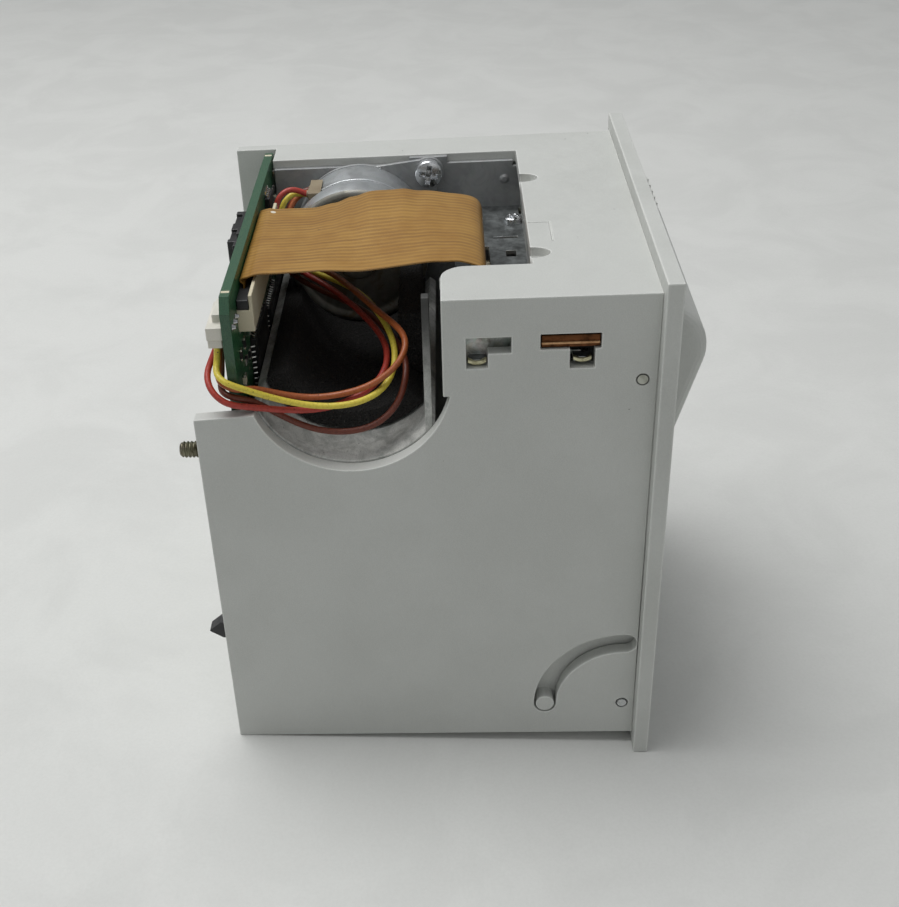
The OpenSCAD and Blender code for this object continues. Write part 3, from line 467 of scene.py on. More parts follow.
# Route points of part.scad: x from the service side, y and z of the working frame.
LEADS = {
    "yellow": (0.1049, [
        (56.5, 57.6, 84.2), (56.1, 59.8, 85.1), (55.2, 61.9, 84.4), (54.4, 63.1, 82), (53.4, 63.5, 79),
        (51.2, 63.2, 75.8), (48, 61.9, 73.8), (42, 54.2, 74.2), (32, 47, 75.3), (22, 43, 74.9),
        (15, 40.8, 73.8), (10, 40.7, 71.3), (6, 43, 69.2), (3.2, 48, 68.6), (3, 54, 68.8), (2.4, 60, 70.8),
        (0.3, 65, 74.1), (0.2, 67.2, 75.1), (1.8, 68.6, 75.7), (3.4, 68.8, 76.3), (4.4, 68.5, 77.9),
        (4.5, 68.45, 79.55),
    ]),
    "red": (0.1054, [
        (55, 57.9, 84.95), (54.8, 60, 86.3), (54, 62.2, 86.05), (53.2, 63.6, 84.2), (52.5, 63.7, 81.4),
        (51.2, 63.8, 78.2), (48.8, 63.2, 75.5), (45.4, 60.6, 74.6), (38, 52.8, 73.6), (28, 47, 73.2),
        (19, 42.6, 72.6), (12, 41.8, 71.6), (8, 44, 69.3), (5.6, 49, 67.8), (4.2, 54, 67.3),
        (2.4, 59.8, 68.8), (0.8, 64.6, 70.4), (0.1, 67.2, 71.2), (0.8, 69.4, 72.8), (2.8, 70.5, 74.3),
        (5, 70.4, 75.6), (6.35, 69.2, 77.5), (6.5, 68.45, 79.55),
    ]),
    "orange": (0.1073, [
        (58, 57.6, 84.2), (58, 59.3, 84), (57.4, 60.9, 82.8), (56, 61.8, 80.6), (53, 62, 78.4),
        (49.6, 62.3, 77), (46, 60, 76.4), (38, 52, 76.2), (28, 47.2, 76.6), (20, 43.4, 76.8),
        (14, 39.6, 76.7), (10, 38.5, 75.6), (7.6, 40.4, 73), (6.2, 44.4, 70.6), (5.7, 49, 69.4),
        (5.4, 55, 68.9), (4.6, 60.6, 70.8), (3.2, 63.2, 72.4), (1.5, 65, 73), (1.2, 66.9, 73.6),
        (2.8, 68.7, 74.1), (5.6, 68.9, 74.2), (7.6, 69, 75.2), (8.4, 68.8, 77.2), (8.5, 68.45, 79.55),
    ]),
    "brown": (0.119, [
        (59.5, 57.6, 84.2), (59.4, 59.4, 83.9), (58.9, 61.1, 82.6), (57.8, 62.4, 80.2), (55.6, 63.2, 76.8),
        (52.4, 63.1, 74), (47.8, 62, 72.2), (40, 54, 71.6), (30, 46, 72.6), (20, 41.4, 72.6),
        (13, 39, 72.4), (9, 38.9, 70.2), (6.5, 40.5, 66.3), (4.4, 44.4, 63.8), (3.7, 49.6, 63.3),
        (3.5, 55, 64.4), (3.6, 60.4, 67.7), (2.8, 63.4, 70.4), (1.3, 65.4, 71.6), (1.2, 67.2, 72.2),
        (3, 68.6, 72.3), (7, 68.8, 72.7), (9.6, 69, 74.3), (10.4, 68.9, 76.8), (10.5, 68.45, 79.55),
    ]),
}


def lead(colour, route):
    """One free motor lead as a smooth curve through its route."""
    curve = bpy.data.curves.new("lead_" + colour, "CURVE")
    curve.dimensions = "3D"
    curve.bevel_depth = LEAD_DIAMETER / 2 * MM
    curve.bevel_resolution = 5
    curve.use_fill_caps = True
    spline = curve.splines.new("NURBS")
    spline.points.add(len(route) - 1)
    for point, (x, y, z) in zip(spline.points, route):
        point.co = (*at(x - HALF_WIDTH, y, z), 1)
    spline.order_u = 4
    spline.use_endpoint_u = True
    spline.resolution_u = 8
    made = bpy.data.objects.new("cord_" + colour, curve)
    SCENE.collection.objects.link(made)
    curve.materials.append(WIRES[colour])
    x, y, z = route[0]
    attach(made, "frame")
    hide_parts("lead_" + colour)
    return made


for lead_colour, (lead_length, lead_route) in LEADS.items():
    lead(lead_colour, lead_route)

# ---------------------------------------------------------------- mesh pieces


def basis(axis):
    """That axis and two more at right angles to it and each other, all of length 1."""
    axis = Vector(axis).normalized()
    side = axis.orthogonal().normalized()
    return axis, side, axis.cross(side)


def ring(centre, side, other, radius, steps):
    """steps points on a circle."""
    turns = [2 * math.pi * k / steps for k in range(steps)]
    return [centre + (side * math.cos(turn) + other * math.sin(turn)) * radius for turn in turns]


class Piece:
    """A mesh built in millimetres of the working frame, from several shapes."""

    def __init__(self, name, material, body="frame", slot=None, replaces=()):
        self.name, self.body, self.slot, self.stands_for = name, body, slot, replaces
        self.materials = [material] if not isinstance(material, list) else material
        self.mesh = bmesh.new()

    def block(self, low, high, radius=0.12, steps=2, material=0):
        """A box from low to high with rounded edges."""
        part = bmesh.new()
        bmesh.ops.create_cube(part, size=1)
        low, high = Vector(low), Vector(high)
        size, middle = high - low, (high + low) / 2
        for vertex in part.verts:
            vertex.co = Vector((vertex.co.x * size.x, vertex.co.y * size.y, vertex.co.z * size.z)) + middle
        radius = min(radius, 0.45 * min(size))
        if radius > 0:
            bmesh.ops.bevel(
                part, geom=part.edges[:], offset=radius, segments=steps, profile=0.5, affect="EDGES"
            )
        self.add(part, material)

    def add(self, part, material=0):
        """Takes over another bmesh."""
        bmesh.ops.recalc_face_normals(part, faces=part.faces[:])
        for face in part.faces:
            face.material_index = material
        temporary = bpy.data.meshes.new("temporary")
        part.to_mesh(temporary)
        part.free()
        self.mesh.from_mesh(temporary)
        bpy.data.meshes.remove(temporary)

    def surface(self, rows, closed_rows=False, closed_columns=False, caps=False, material=0):
        """A quad surface through a grid of points."""
        part = bmesh.new()
        grid = [[part.verts.new(p) for p in row] for row in rows]
        n, m = len(grid), len(grid[0])
        for i in range(n if closed_rows else n - 1):
            for j in range(m if closed_columns else m - 1):
                a, b = grid[i][j], grid[i][(j + 1) % m]
                c, d = grid[(i + 1) % n][(j + 1) % m], grid[(i + 1) % n][j]
                if len({a, b, c, d}) == 4:
                    part.faces.new((a, b, c, d))
        if caps:
            part.faces.new(grid[0])
            part.faces.new(list(reversed(grid[-1])))
        self.add(part, material)

    def lathe(self, centre, axis, profile, steps=40, material=0):
        """Turns (radius, distance along axis) points about an axis; end radii of 0 close it."""
        axis, side, other = basis(axis)
        centre = Vector(centre)
        part = bmesh.new()
        rings = []
        for radius, along in profile:
            if radius < 1e-6:
                rings.append([part.verts.new(centre + axis * along)] * steps)
            else:
                rings.append([part.verts.new(p) for p in ring(centre + axis * along, side, other, radius, steps)])
        for one, two in zip(rings, rings[1:]):
            for k in range(steps):
                corners = []
                for vertex in (one[k], one[(k + 1) % steps], two[(k + 1) % steps], two[k]):
                    if vertex not in corners:
                        corners.append(vertex)
                if len(corners) > 2:
                    part.faces.new(corners)
        self.add(part, material)

    def wire(self, points, radius, sides=8, material=0):
        """A round bar of that radius along points, closed at both ends."""
        points = [Vector(p) for p in points]
        rings, normal = [], None
        for i, point in enumerate(points):
            tangent = (points[min(i + 1, len(points) - 1)] - points[max(i - 1, 0)]).normalized()
            if normal is None:
                normal = tangent.orthogonal().normalized()
            normal = (normal - tangent * normal.dot(tangent)).normalized()
            binormal = tangent.cross(normal)
            rings.append(ring(point, normal, binormal, radius, sides))
        self.surface(rings, closed_columns=True, caps=True, material=material)

    def done(self, sharp=35):
        for vertex in self.mesh.verts:
            vertex.co = at(*vertex.co)
        data = bpy.data.meshes.new(self.name)
        self.mesh.to_mesh(data)
        self.mesh.free()
        for material in self.materials:
            data.materials.append(material)
        data.polygons.foreach_set("use_smooth", [True] * len(data.polygons))
        data.set_sharp_from_angle(angle=math.radians(sharp))
        made = bpy.data.objects.new(self.name, data)
        SCENE.collection.objects.link(made)
        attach(made, self.body)
        if self.stands_for:
            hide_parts(*self.stands_for)
        return made


def screw_head(piece, centre, axis, radius, height, recess, seat=0.0, turn=0.4, rings=40, steps=144):
    """A pan head with a cross recess. axis points out of the head, and centre is on its seat."""
    axis = Vector(axis).normalized()
    side = (Matrix.Rotation(turn, 3, axis) @ axis.orthogonal()).normalized()
    other = axis.cross(side)
    centre = Vector(centre)
    arm, width, depth = recess * 0.62, recess * 0.17, height * 0.62
    rows = []

    def step(value):
        value = min(max(value, 0.0), 1.0)
        return value * value * (3 - 2 * value)

    for i in range(rings + 1):
        share = i / rings
        reach = radius * share
        crown = height * (1 - 0.30 * share**2) if share < 0.86 else None
        if crown is None:
            bend = (share - 0.86) / 0.14
            crown = height * (1 - 0.30 * 0.86**2) * math.sqrt(max(0.0, 1 - bend**2)) * 0.999
        row = []
        for k in range(steps):
            angle = 2 * math.pi * k / steps
            u, v = reach * math.cos(angle), reach * math.sin(angle)
            longer, shorter = max(abs(u), abs(v)), min(abs(u), abs(v))
            arms = step((width * (1.15 - 0.35 * longer / arm) - shorter) / 0.1 + 0.5) * step(
                (arm - longer) / (0.22 * arm)
            )
            core = step((recess * 0.27 - reach) / 0.16 + 0.5)
            sink = depth * max(arms * (1 - 0.35 * longer / arm), core)
            row.append(centre + side * u + other * v + axis * (crown - sink))
        rows.append(row)
    rows.append([centre + (p - centre) - axis * (p - centre).dot(axis) - axis * seat for p in rows[-1]])
    piece.surface(rows, closed_columns=True, caps=True)


def threaded(piece, centre, axis, radius, length, pitch, depth, steps=28, per_turn=8):
    """A screw thread along axis, chamfered at its far end."""
    axis, side, other = basis(axis)
    centre = Vector(centre)
    count = int(length / pitch * per_turn)
    rows = []
    for i in range(count + 1):
        along = length * i / count
        row = []
        for k in range(steps):
            angle = 2 * math.pi * k / steps
            phase = (along / pitch - k / steps) % 1
            groove = depth * (0.5 + 0.5 * math.cos(2 * math.pi * phase)) ** 0.7
            chamfer = max(0.0, along - (length - 0.5)) * 0.9
            reach = radius - max(groove * min(1.0, along / 0.4), chamfer)
            row.append(centre + axis * along + (side * math.cos(angle) + other * math.sin(angle)) * reach)
        rows.append(row)
    piece.surface(rows, closed_columns=True, caps=True)


def catmull(points, per_span=6):
    """Points on a smooth curve through the given ones."""
    points = [Vector(p) for p in points]
    ends = [points[0] * 2 - points[1], *points, points[-1] * 2 - points[-2]]
    made = []
    for i in range(1, len(ends) - 2):
        a, b, c, d = ends[i - 1 : i + 3]
        for k in range(per_span):
            t = k / per_span
            made.append(
                0.5 * (2 * b + (c - a) * t + (2 * a - 5 * b + 4 * c - d) * t**2 + (3 * b - a - 3 * c + d) * t**3)
            )
    return [*made, points[-1]]


# --- motor

MOTOR_Y, MOTOR_Z = 48.6, 74.6


def build_motor():
    can = Piece("motor_shell", [can_steel, disc_steel], slot="zinc_steel", replaces=["motor_can"])
    near = 10.9
    axis = (1, 0, 0)
    centre = (near, MOTOR_Y, MOTOR_Z)
    disc = [(3.6, 0.0), (10.3, 0.0), (10.5, 0.12), (11.0, 0.12), (11.2, 0.0), (12.1, 0.0)]
    can.lathe(centre, axis, disc, 96, material=1)
    rim = [(12.1, 0.0), (12.5, 0.07), (12.83, 0.3), (13.03, 0.68), (13.1, 1.2), (13.1, 4.85), (13.02, 5.06),
           (12.5, 5.1)]
    body = [(12.5, 6.8), (12.36, 6.95), (12.36, 7.1), (12.6, 7.2), (12.65, 7.3), (12.65, 7.95), (12.58, 8.1),
            (12.5, 8.16), (12.5, 14.5), (12.42, 14.9), (12.3, 15.3)]
    can.lathe(centre, axis, rim[:4], 96, material=1)
    can.lathe(centre, axis, rim[3:] + body, 96)
    for angle in range(0, 360, 90):
        # crimp notches that hold the end plate
        turn = math.radians(angle + 20)
        y, z = MOTOR_Y + 12.35 * math.cos(turn), MOTOR_Z + 12.35 * math.sin(turn)
        can.wire([(25.2, y, z), (26.15, y, z)], 0.28, 10)
    can.done()

    cap = Piece("motor_end_boss", [disc_steel, plated_steel], slot="zinc_steel", replaces=["motor_bearing_cap"])
    cap.lathe((9.8, MOTOR_Y, MOTOR_Z), axis, [
        (0, 0.28), (1.1, 0.28), (1.3, 0.0), (3.0, 0.0), (3.5, 0.12), (3.8, 0.5), (3.85, 0.85), (4.2, 1.1),
    ], 56)
    cap.lathe((9.8, MOTOR_Y, MOTOR_Z), axis, [(0, 0.12), (0.75, 0.12), (0.95, 0.29)], 32, material=1)
    cap.done()

    screws = Piece("motor_screw_set", chrome, slot="plated_steel", replaces=["motor_screws"])
    for angle in (142, 322):
        y = MOTOR_Y + 17 * math.cos(math.radians(angle))
        z = MOTOR_Z + 17 * math.sin(math.radians(angle))
        screw_head(screws, (26.2, y, z), (-1, 0, 0), 2.73, 1.9, 2.9, turn=0.62)
        screws.lathe((26.0, y, z), axis, [(0, 0), (1.3, 0), (1.3, 1.9), (1.1, 2.05), (0, 2.05)], 24)
    screws.done(50)


# --- flat flex

FLEX_LINE = [
    (64.75, 80.6), (64.75, 83), (64.75, 84.6), (64.74, 85.35), (65.1, 85.7), (65.25, 86), (64.9, 86.28), (64, 86.5),
    (62.5, 86.85), (58, 87.05), (54, 87.2), (50, 87.4), (46, 87.6), (42, 87.9), (38, 88.25), (34, 88.3),
    (31, 88.05), (28.8, 87.7), (27.2, 87.2), (26.2, 86.4), (25.75, 85.2), (25.6, 83), (25.5, 80), (25.5, 73.6),
]
# How far each edge of the ribbon stands over or under that line: y, height.
FLEX_NEAR_LIFT = [
    (25, 0), (27.4, -0.1), (30, 0.05), (33, -0.2), (39.5, -0.6), (45, -0.7), (53, -0.08), (59, 0), (62, 0.1), (64, 0),
]
FLEX_FAR_LIFT = [
    (25, 0), (31, 0), (36.3, 0.45), (40, 1.15), (45, 1.4), (48.4, 0.7), (51.8, -0.2), (55.5, -0.75),
    (62, -0.5), (64, 0),
]
FLEX_NEAR, FLEX_FAR = -23.0, 6.5
FLEX_HALF = 0.11


def eased(stops, place):
    """A smooth value between the stops of a list of (place, value)."""
    if place <= stops[0][0] or place >= stops[-1][0]:
        return 0.0
    for (low, first), (high, last) in zip(stops, stops[1:]):
        if place <= high:
            share = (place - low) / (high - low)
            return first + (last - first) * share * share * (3 - 2 * share)
    return 0.0


def build_flex():
    ribbon = Piece("flex_ribbon", flex_amber, slot="flex_amber", replaces=["flex_cable"])
    line = catmull([(0, y, z) for y, z in FLEX_LINE], 7)
    columns = 48
    tops, bottoms = [], []
    for i, point in enumerate(line):
        tangent = line[min(i + 1, len(line) - 1)] - line[max(i - 1, 0)]
        normal = Vector((0, -tangent.z, tangent.y)).normalized()
        if normal.z < 0 or (abs(normal.z) < 0.05 and point.y > 60 and normal.y < 0):
            normal = -normal
        if point.y < 30 and normal.y > 0:
            normal = -normal
        near_lift, far_lift = eased(FLEX_NEAR_LIFT, point.y), eased(FLEX_FAR_LIFT, point.y)
        if point.z < 85.8:
            near_lift = far_lift = 0.0
        top, bottom = [], []
        for j in range(columns + 1):
            share = j / columns
            x = FLEX_NEAR + (FLEX_FAR - FLEX_NEAR) * share
            blend = share * share * (3 - 2 * share)
            lift = near_lift * (1 - blend) + far_lift * blend
            middle = Vector((x, point.y, point.z + lift))
            top.append(middle + normal * FLEX_HALF)
            bottom.append(middle - normal * FLEX_HALF)
        tops.append(top)
        bottoms.append(bottom)
    rows = [top + list(reversed(bottom)) for top, bottom in zip(tops, bottoms)]
    ribbon.surface(rows, closed_columns=True, caps=True)
    ribbon.done(50)
    stiffener = Piece("flex_stiffener", natural_plastic, slot="natural_plastic")
    stiffener.block((FLEX_NEAR + 0.3, 25.72, 74.2), (FLEX_FAR - 0.3, 25.92, 79.0), 0.05)
    stiffener.done()


# --- foam in the trough

FOAM_Y, FOAM_Z = 47.9, 74.55


def foam_band(pad, low, high, inner, first=222, last=340, along=76, turns=104):
    """A ragged arc of foam between two planes of x, with its two ends closed."""
    rows = []
    for i in range(turns + 1):
        share = i / turns
        angle = math.radians(first + (last - first) * share)
        row_in, row_out = [], []
        for j in range(along + 1):
            x = low + (high - low) * j / along
            rough = noise.noise(Vector((x * 0.9, share * 34, 0)))
            rough += 0.6 * noise.noise(Vector((x * 2.3, share * 80, 3)))
            edge = min(j, along - j, i, turns - i) / 3
            shrink = 0.35 * max(0.0, 1 - edge) ** 2
            near = inner + 0.06 + shrink + 0.3 * (0.5 + 0.5 * rough)
            far = 15.76 - shrink - 0.1 * (0.5 + 0.5 * rough)
            c, s = math.cos(angle), math.sin(angle)
            row_in.append((x, FOAM_Y + near * c, FOAM_Z + near * s))
            row_out.append((x, FOAM_Y + far * c, FOAM_Z + far * s))
        rows.append(row_in + list(reversed(row_out)))
    pad.surface(rows, closed_columns=True, caps=True)


def foam_slab(pad, low, high, steps=(44, 10, 26)):
    """A ragged upright slab of foam."""
    size = [b - a for a, b in zip(low, high)]
    rows = []
    for k in range(steps[2] + 1):
        ring = []
        up = k / steps[2]
        loop = [(i / steps[0], 0) for i in range(steps[0])] + [(1, i / steps[1]) for i in range(steps[1])]
        loop += [(1 - i / steps[0], 1) for i in range(steps[0])] + [(0, 1 - i / steps[1]) for i in range(steps[1])]
        for u, v in loop:
            x, y, z = low[0] + size[0] * u, low[1] + size[1] * v, low[2] + size[2] * up
            rough = 0.5 + 0.5 * noise.noise(Vector((x * 1.6, y * 1.6, z * 1.6)))
            pull = 0.05 + 0.28 * rough + (0.3 if k in (0, steps[2]) else 0.0)
            ring.append((x + pull * (1 - 2 * u) * (1 if u in (0, 1) else 0.0),
                         y + pull * (1 - 2 * v) * (1 if v in (0, 1) else 0.0), z - 0.25 * rough * up))
        rows.append(ring)
    pad.surface(rows, closed_columns=True, caps=True)


def build_foam():
    pad = Piece("foam_pad", foam, slot="foam", replaces=["foam_liner"])
    foam_band(pad, -25.4, 9.0, 11.5)
    foam_band(pad, 9.2, 24.0, 14.0, along=34)
    foam_slab(pad, (-17, 36.35, 64.9), (9, 40.65, 76.3))
    made = pad.done(60)
    return made


# --- studs, pins, springs


STUD_X, STUD_Z, STUD_RADIUS = 33, 60.6, 1.42
LATCH_AT, HINGE_AT = (2.3, 73.6), (2.2, 7.1)


def build_hardware():
    studs = Piece("rear_threads", yellowed_steel, slot="yellowed_steel", replaces=["rear_studs"])
    for x in (-STUD_X, STUD_X):
        body = [(0, 0), (1.74, 0), (1.74, 3.48), (1.25, 3.5), (1.25, 3.9)]
        studs.lathe((x, HOUSING_DEPTH - 3.5, STUD_Z), (0, 1, 0), body, 40)
        threaded(studs, (x, HOUSING_DEPTH + 0.3, STUD_Z), (0, 1, 0), STUD_RADIUS, 3.5, 0.64, 0.22)
    studs.done(40)

    rings = Piece("pin_shadow_rings", black_plastic, slot="black_plastic")
    outline = [(0.82, 0.0), (0.82, 0.02), (0.96, 0.02), (0.96, 0.0)]
    for y, z in (LATCH_AT, HINGE_AT):
        for way in (-1, 1):
            rings.lathe((way * HALF_WIDTH, y, z), (way, 0, 0), outline, 40)
    rings.done()

    springs = Piece("head_coils", spring_steel, slot="spring_steel", replaces=["head_springs"])
    for x in (-18, 13):
        turns, radius = 6.5, 1.68
        points = []
        for k in range(int(turns * 18) + 1):
            share = k / (turns * 18)
            bunch = 0.5 - 0.5 * math.cos(math.pi * share)
            points.append((
                x + radius * math.cos(2 * math.pi * turns * share),
                9.55 + 5.6 * (0.7 * share + 0.3 * bunch),
                69.4 + radius * math.sin(2 * math.pi * turns * share),
            ))
        springs.wire(points, 0.22, 8)
    springs.done(50)

    pivots = Piece("carrier_screw_set", chrome, slot="plated_steel", replaces=["carrier_screws"])
    for x, y in ((18.6, 19.6), (-31.0, 19.6)):
        screw_head(pivots, (x, y, 77.5), (0, 0, 1), 1.7, 1.36, 1.9, turn=0.3, rings=30, steps=96)
        pivots.lathe((x, y, 77.6), (0, 0, -1), [(0, 0), (0.95, 0), (0.95, 2.6), (0.7, 2.85), (0, 2.85)], 20)
    pivots.done(50)


# --- board

# Packages on the board: their lowest and highest x and z, and their height
CHIPS = [
    (14.2, 58, 23.6, 68, 1.1), (0, 57, 13, 70, 1.3), (-19, 59.5, -5, 73.5, 1.3), (14.4, 80.5, 20, 85.5, 1.0),
    (-2, 44, 12, 53, 1.4),
]
BOARD_FACE, BOARD_BACK = 65.5, 67.1
SOCKET_AREA = (-29, 78.5, 12, 88)
PASSIVES = 34
CAPACITORS = ((-26, 38), (-17, 38), (18, 38))
random.seed(41)


def build_board():
    legs = Piece("chip_legs", tin, slot="plated_steel")

    def leg(spot, edge, way, height, upright):
        """One gull-wing leg, out of the upper or lower edge if upright, else out of a side edge."""
        steps = ((-0.05, height * 0.55), (0.3, height * 0.55), (0.5, 0.14), (1.0, 0.1))
        run = [(edge + way * out, BOARD_FACE - rise) for out, rise in steps]
        legs.wire([(spot, y, out) if upright else (out, y, spot) for out, y in run], 0.16, 6)

    for x0, z0, x1, z1, height in CHIPS:
        width, tall = x1 - x0, z1 - z0
        pitch = 1.0 if width > 6 else 0.9
        if width >= tall:
            for edge, way in ((z0, -1), (z1, 1)):
                for k in range(int((width - 1.6) / pitch) + 1):
                    spot = x0 + 0.8 + pitch * k
                    leg(spot, edge, way, height, True)
                    low, high = sorted((edge + way * 1.0, edge + way * 0.35))
                    legs.block((spot - 0.26, BOARD_FACE - 0.05, low), (spot + 0.26, BOARD_FACE, high), 0.02, 1)
        if abs(width - tall) < 1.5 and width > 6:
            for edge, way in ((x0, -1), (x1, 1)):
                for k in range(int((tall - 1.6) / pitch) + 1):
                    leg(z0 + 0.8 + pitch * k, edge, way, height, False)
    legs.done(40)

    passives = Piece("board_passives", [black_plastic, tin, natural_plastic], slot="black_plastic")
    placed = [(x0 - 1.6, z0 - 1.6, x1 + 1.6, z1 + 1.6) for x0, z0, x1, z1, _ in CHIPS]
    placed.append(SOCKET_AREA)
    count = 0
    while count < PASSIVES:
        x, z = random.uniform(-31, 30), random.uniform(57.5, 86)
        across = random.random() < 0.5
        half_x, half_z = (1.0, 0.62) if across else (0.62, 1.0)
        kind = random.choice((0, 0, 2))
        if any(x + half_x > a and x - half_x < c and z + half_z > b and z - half_z < d for a, b, c, d in placed):
            continue
        placed.append((x - half_x - 0.5, z - half_z - 0.5, x + half_x + 0.5, z + half_z + 0.5))
        tall = 0.42 if kind == 0 else 0.6
        middle, side = (x, z) if across else (z, x)

        def box(first, last, half, top, radius, steps, material):
            """A box from first to last along the part's longer way, half wide each side."""
            low, high = (first, side - half), (last, side + half)
            (a, b), (c, d) = (low, high) if across else (low[::-1], high[::-1])
            passives.block((a, BOARD_FACE - top, b), (c, BOARD_FACE, d), radius, steps, material)

        box(middle - 0.62, middle + 0.62, 0.58, tall, 0.05, 1, kind)
        for way in (-1, 1):
            box(*sorted((middle + way * 0.6, middle + way * 1.0)), 0.6, tall + 0.02, 0.06, 2, 1)
        count += 1
    for x0, x1, z0, z1 in ((-5, -2, 84.2, 86.8), (-10, -8, 84.6, 86.6)):
        passives.block((x0, BOARD_BACK, z0), (x1, BOARD_BACK + 1.05, z1), 0.12, 2)
    passives.done()

    marks = Piece("board_breakaway_marks", natural_plastic, slot="board_green")
    for x in (-31.6, 31.2):
        marks.block((x - 0.35, 65.62, 87.93), (x + 0.35, 66.98, 88.04), 0.04, 1)
    marks.done()

    rear = Piece("rear_solder_joints", [solder, tin], slot="plated_steel")
    out = (0, -1, 0)
    for row in range(2):
        for k in range(8):
            place = (1.5 + 1.5 * k, BOARD_FACE + 0.02, 78.4 + 2.54 * row)
            rear.lathe(place, out, [(0.62, 0), (0.4, 0.22), (0.26, 0.7), (0.2, 1.0), (0, 1.05)], 14)
    for k in range(5):
        place = (-33.4 + 2.0 * k, BOARD_FACE + 0.02, 82.8)
        rear.lathe(place, out, [(0.62, 0), (0.4, 0.22), (0.26, 0.6), (0, 0.72)], 14)
    for x, z in CAPACITORS:
        for way in (-0.8, 0.8):
            place = (x + way, BOARD_FACE + 0.02, z)
            rear.lathe(place, out, [(0.7, 0), (0.4, 0.25), (0.26, 0.6), (0, 0.7)], 14)
    # feet of the flex socket
    for k in range(38):
        x = -27.2 + 1.0 * k
        rear.block((x - 0.18, BOARD_FACE - 0.12, 78.7), (x + 0.18, BOARD_FACE + 0.01, 79.6), 0.04, 1, 1)
    rear.done(40)

    caps = Piece("capacitor_cans", [aluminium, black_plastic], slot="bare_aluminium", replaces=["board_capacitors"])
    can = [(2.0, 0.0), (2.0, 0.35), (1.84, 0.5), (1.84, 0.6), (1.97, 0.72), (1.97, 2.7), (1.9, 2.92), (1.7, 3.0),
           (0, 3.0)]
    for x, z in CAPACITORS:
        caps.lathe((x, BOARD_BACK, z), (0, 1, 0), can, 36)
        caps.block((x - 1.99, BOARD_BACK, z - 1.99), (x + 1.99, BOARD_BACK + 0.3, z + 1.99), 0.1, 1, 1)
    caps.done()

    connector = Piece("rear_connector_pins", [tin, black_plastic], slot="plated_steel")
    for row in range(2):
        for k in range(8):
            x, z = 1.5 + 1.5 * k, 78.4 + 2.54 * row
            connector.block((x - 0.25, 68.0, z - 0.25), (x + 0.25, 70.3, z + 0.25), 0.08, 1)
    connector.done()

    windows = Piece("plug_contacts", [tin, black_plastic], slot="plated_steel")
    for k in range(4):
        x = 4.5 + 2.0 * k - HALF_WIDTH
        windows.block((x - 0.45, 69.1, 79.8), (x + 0.45, 69.26, 80.5), 0.03, 1)
        windows.block((x - 0.35, 69.64, 81.5), (x + 0.35, 69.74, 82.8), 0.03, 1)
    windows.done()


# --- head parts seen through the windows and from the front


def build_head():
    strip = Piece("heater_line", [ceramic, black_plastic, tin], "thermal_head", slot="ceramic")
    strip.block((-24.6, 3.68, 72.2), (19.8, 3.84, 73.4), 0.07, 3)
    for k in range(5):
        x = -21.5 + 9.4 * k
        strip.block((x - 2.3, 3.5, 66.0), (x + 2.3, 3.85, 68.0), 0.12, 2, 1)
    strip.done()

    strap = Piece("carrier_copper_strip", [dark_copper, highlight_copper], slot="brass")
    strap.block((-36.9, 8.95, 79.35), (-36.3, 17.85, 81.35), 0.15, 2)
    # The raised band takes the lighter copper: a painted highlight along the bar's rounded front.
    strap.block((-37.1, 8.95, 79.9), (-36.6, 17.85, 80.35), 0.16, 2, 1)
    for y in (8.95, 17.45):
        strap.block((-36.5, y, 79.35), (-33.85, y + 0.4, 81.35), 0.12, 1)
    strap.done()

    # A thin black sheet inside the near window: painted shade, standing where the space behind the window lies in deep
    # shadow.
    sheet = Piece("window_shade_sheet", black_plastic, slot="black_plastic")
    sheet.block((-33.9, 8.3, 77.55), (-33.6, 18.95, 83.6), 0.06, 1)
    sheet.done()

    hooks = Piece("carrier_hooks", lip_steel, slot="yellowed_steel")
    for y in (10.2, 26.3):
        rows = []
        count = 14
        for i in range(count + 1):
            share = i / count
            u = 1.35 + (share - 0.5) * 2.75
            droop = 0.42 * (1 - (2 * share - 1) ** 2) - 0.25
            turns = [2 * math.pi * k / 12 for k in range(12)]
            rows.append([
                (-36.1 + 0.55 * math.cos(turn), y + u, 76.95 - droop + 0.42 * math.sin(turn)) for turn in turns
            ])
        hooks.surface(rows, closed_columns=True, caps=True)
    hooks.done(50)

    pins = Piece("head_connector_contacts", tin, slot="plated_steel")
    for k in range(31):
        x = -23.8 + 1.0 * k
        pins.block((x - 0.16, 27.3, 69.2), (x + 0.16, 27.48, 70.6), 0.03, 1)
        pins.block((x - 0.16, 24.2, 74.5), (x + 0.16, 24.8, 74.66), 0.03, 1)
    pins.done()

    eye = Piece("paper_sensor_lenses", [black_plastic, ceramic], slot="black_plastic")
    for x in (-1.4, 1.4):
        eye.lathe((x, 17.4, 59.05), (0, 0, -1), [(1.0, 0), (1.0, 0.12), (0.85, 0.22), (0.75, 0.12), (0, 0.3)], 24)
    eye.done()


# --- motor lead block


def build_lead_block():
    block = Piece("motor_lead_exit", aged_plastic, slot="natural_plastic")
    for x, z in ((19.1, 84.2), (17.6, 84.95), (20.6, 84.2), (22.1, 84.2)):
        block.lathe((x, 57.45, z), (0, 1, 0), [(0.5, 0), (0.72, 0), (0.72, 0.28), (0.6, 0.42), (0.5, 0.42)], 20)
    block.done()


build_motor()
build_flex()
build_foam()
build_hardware()
build_board()
build_head()
build_lead_block()

# ---------------------------------------------------------------- finishes of the CAD nodes that stay

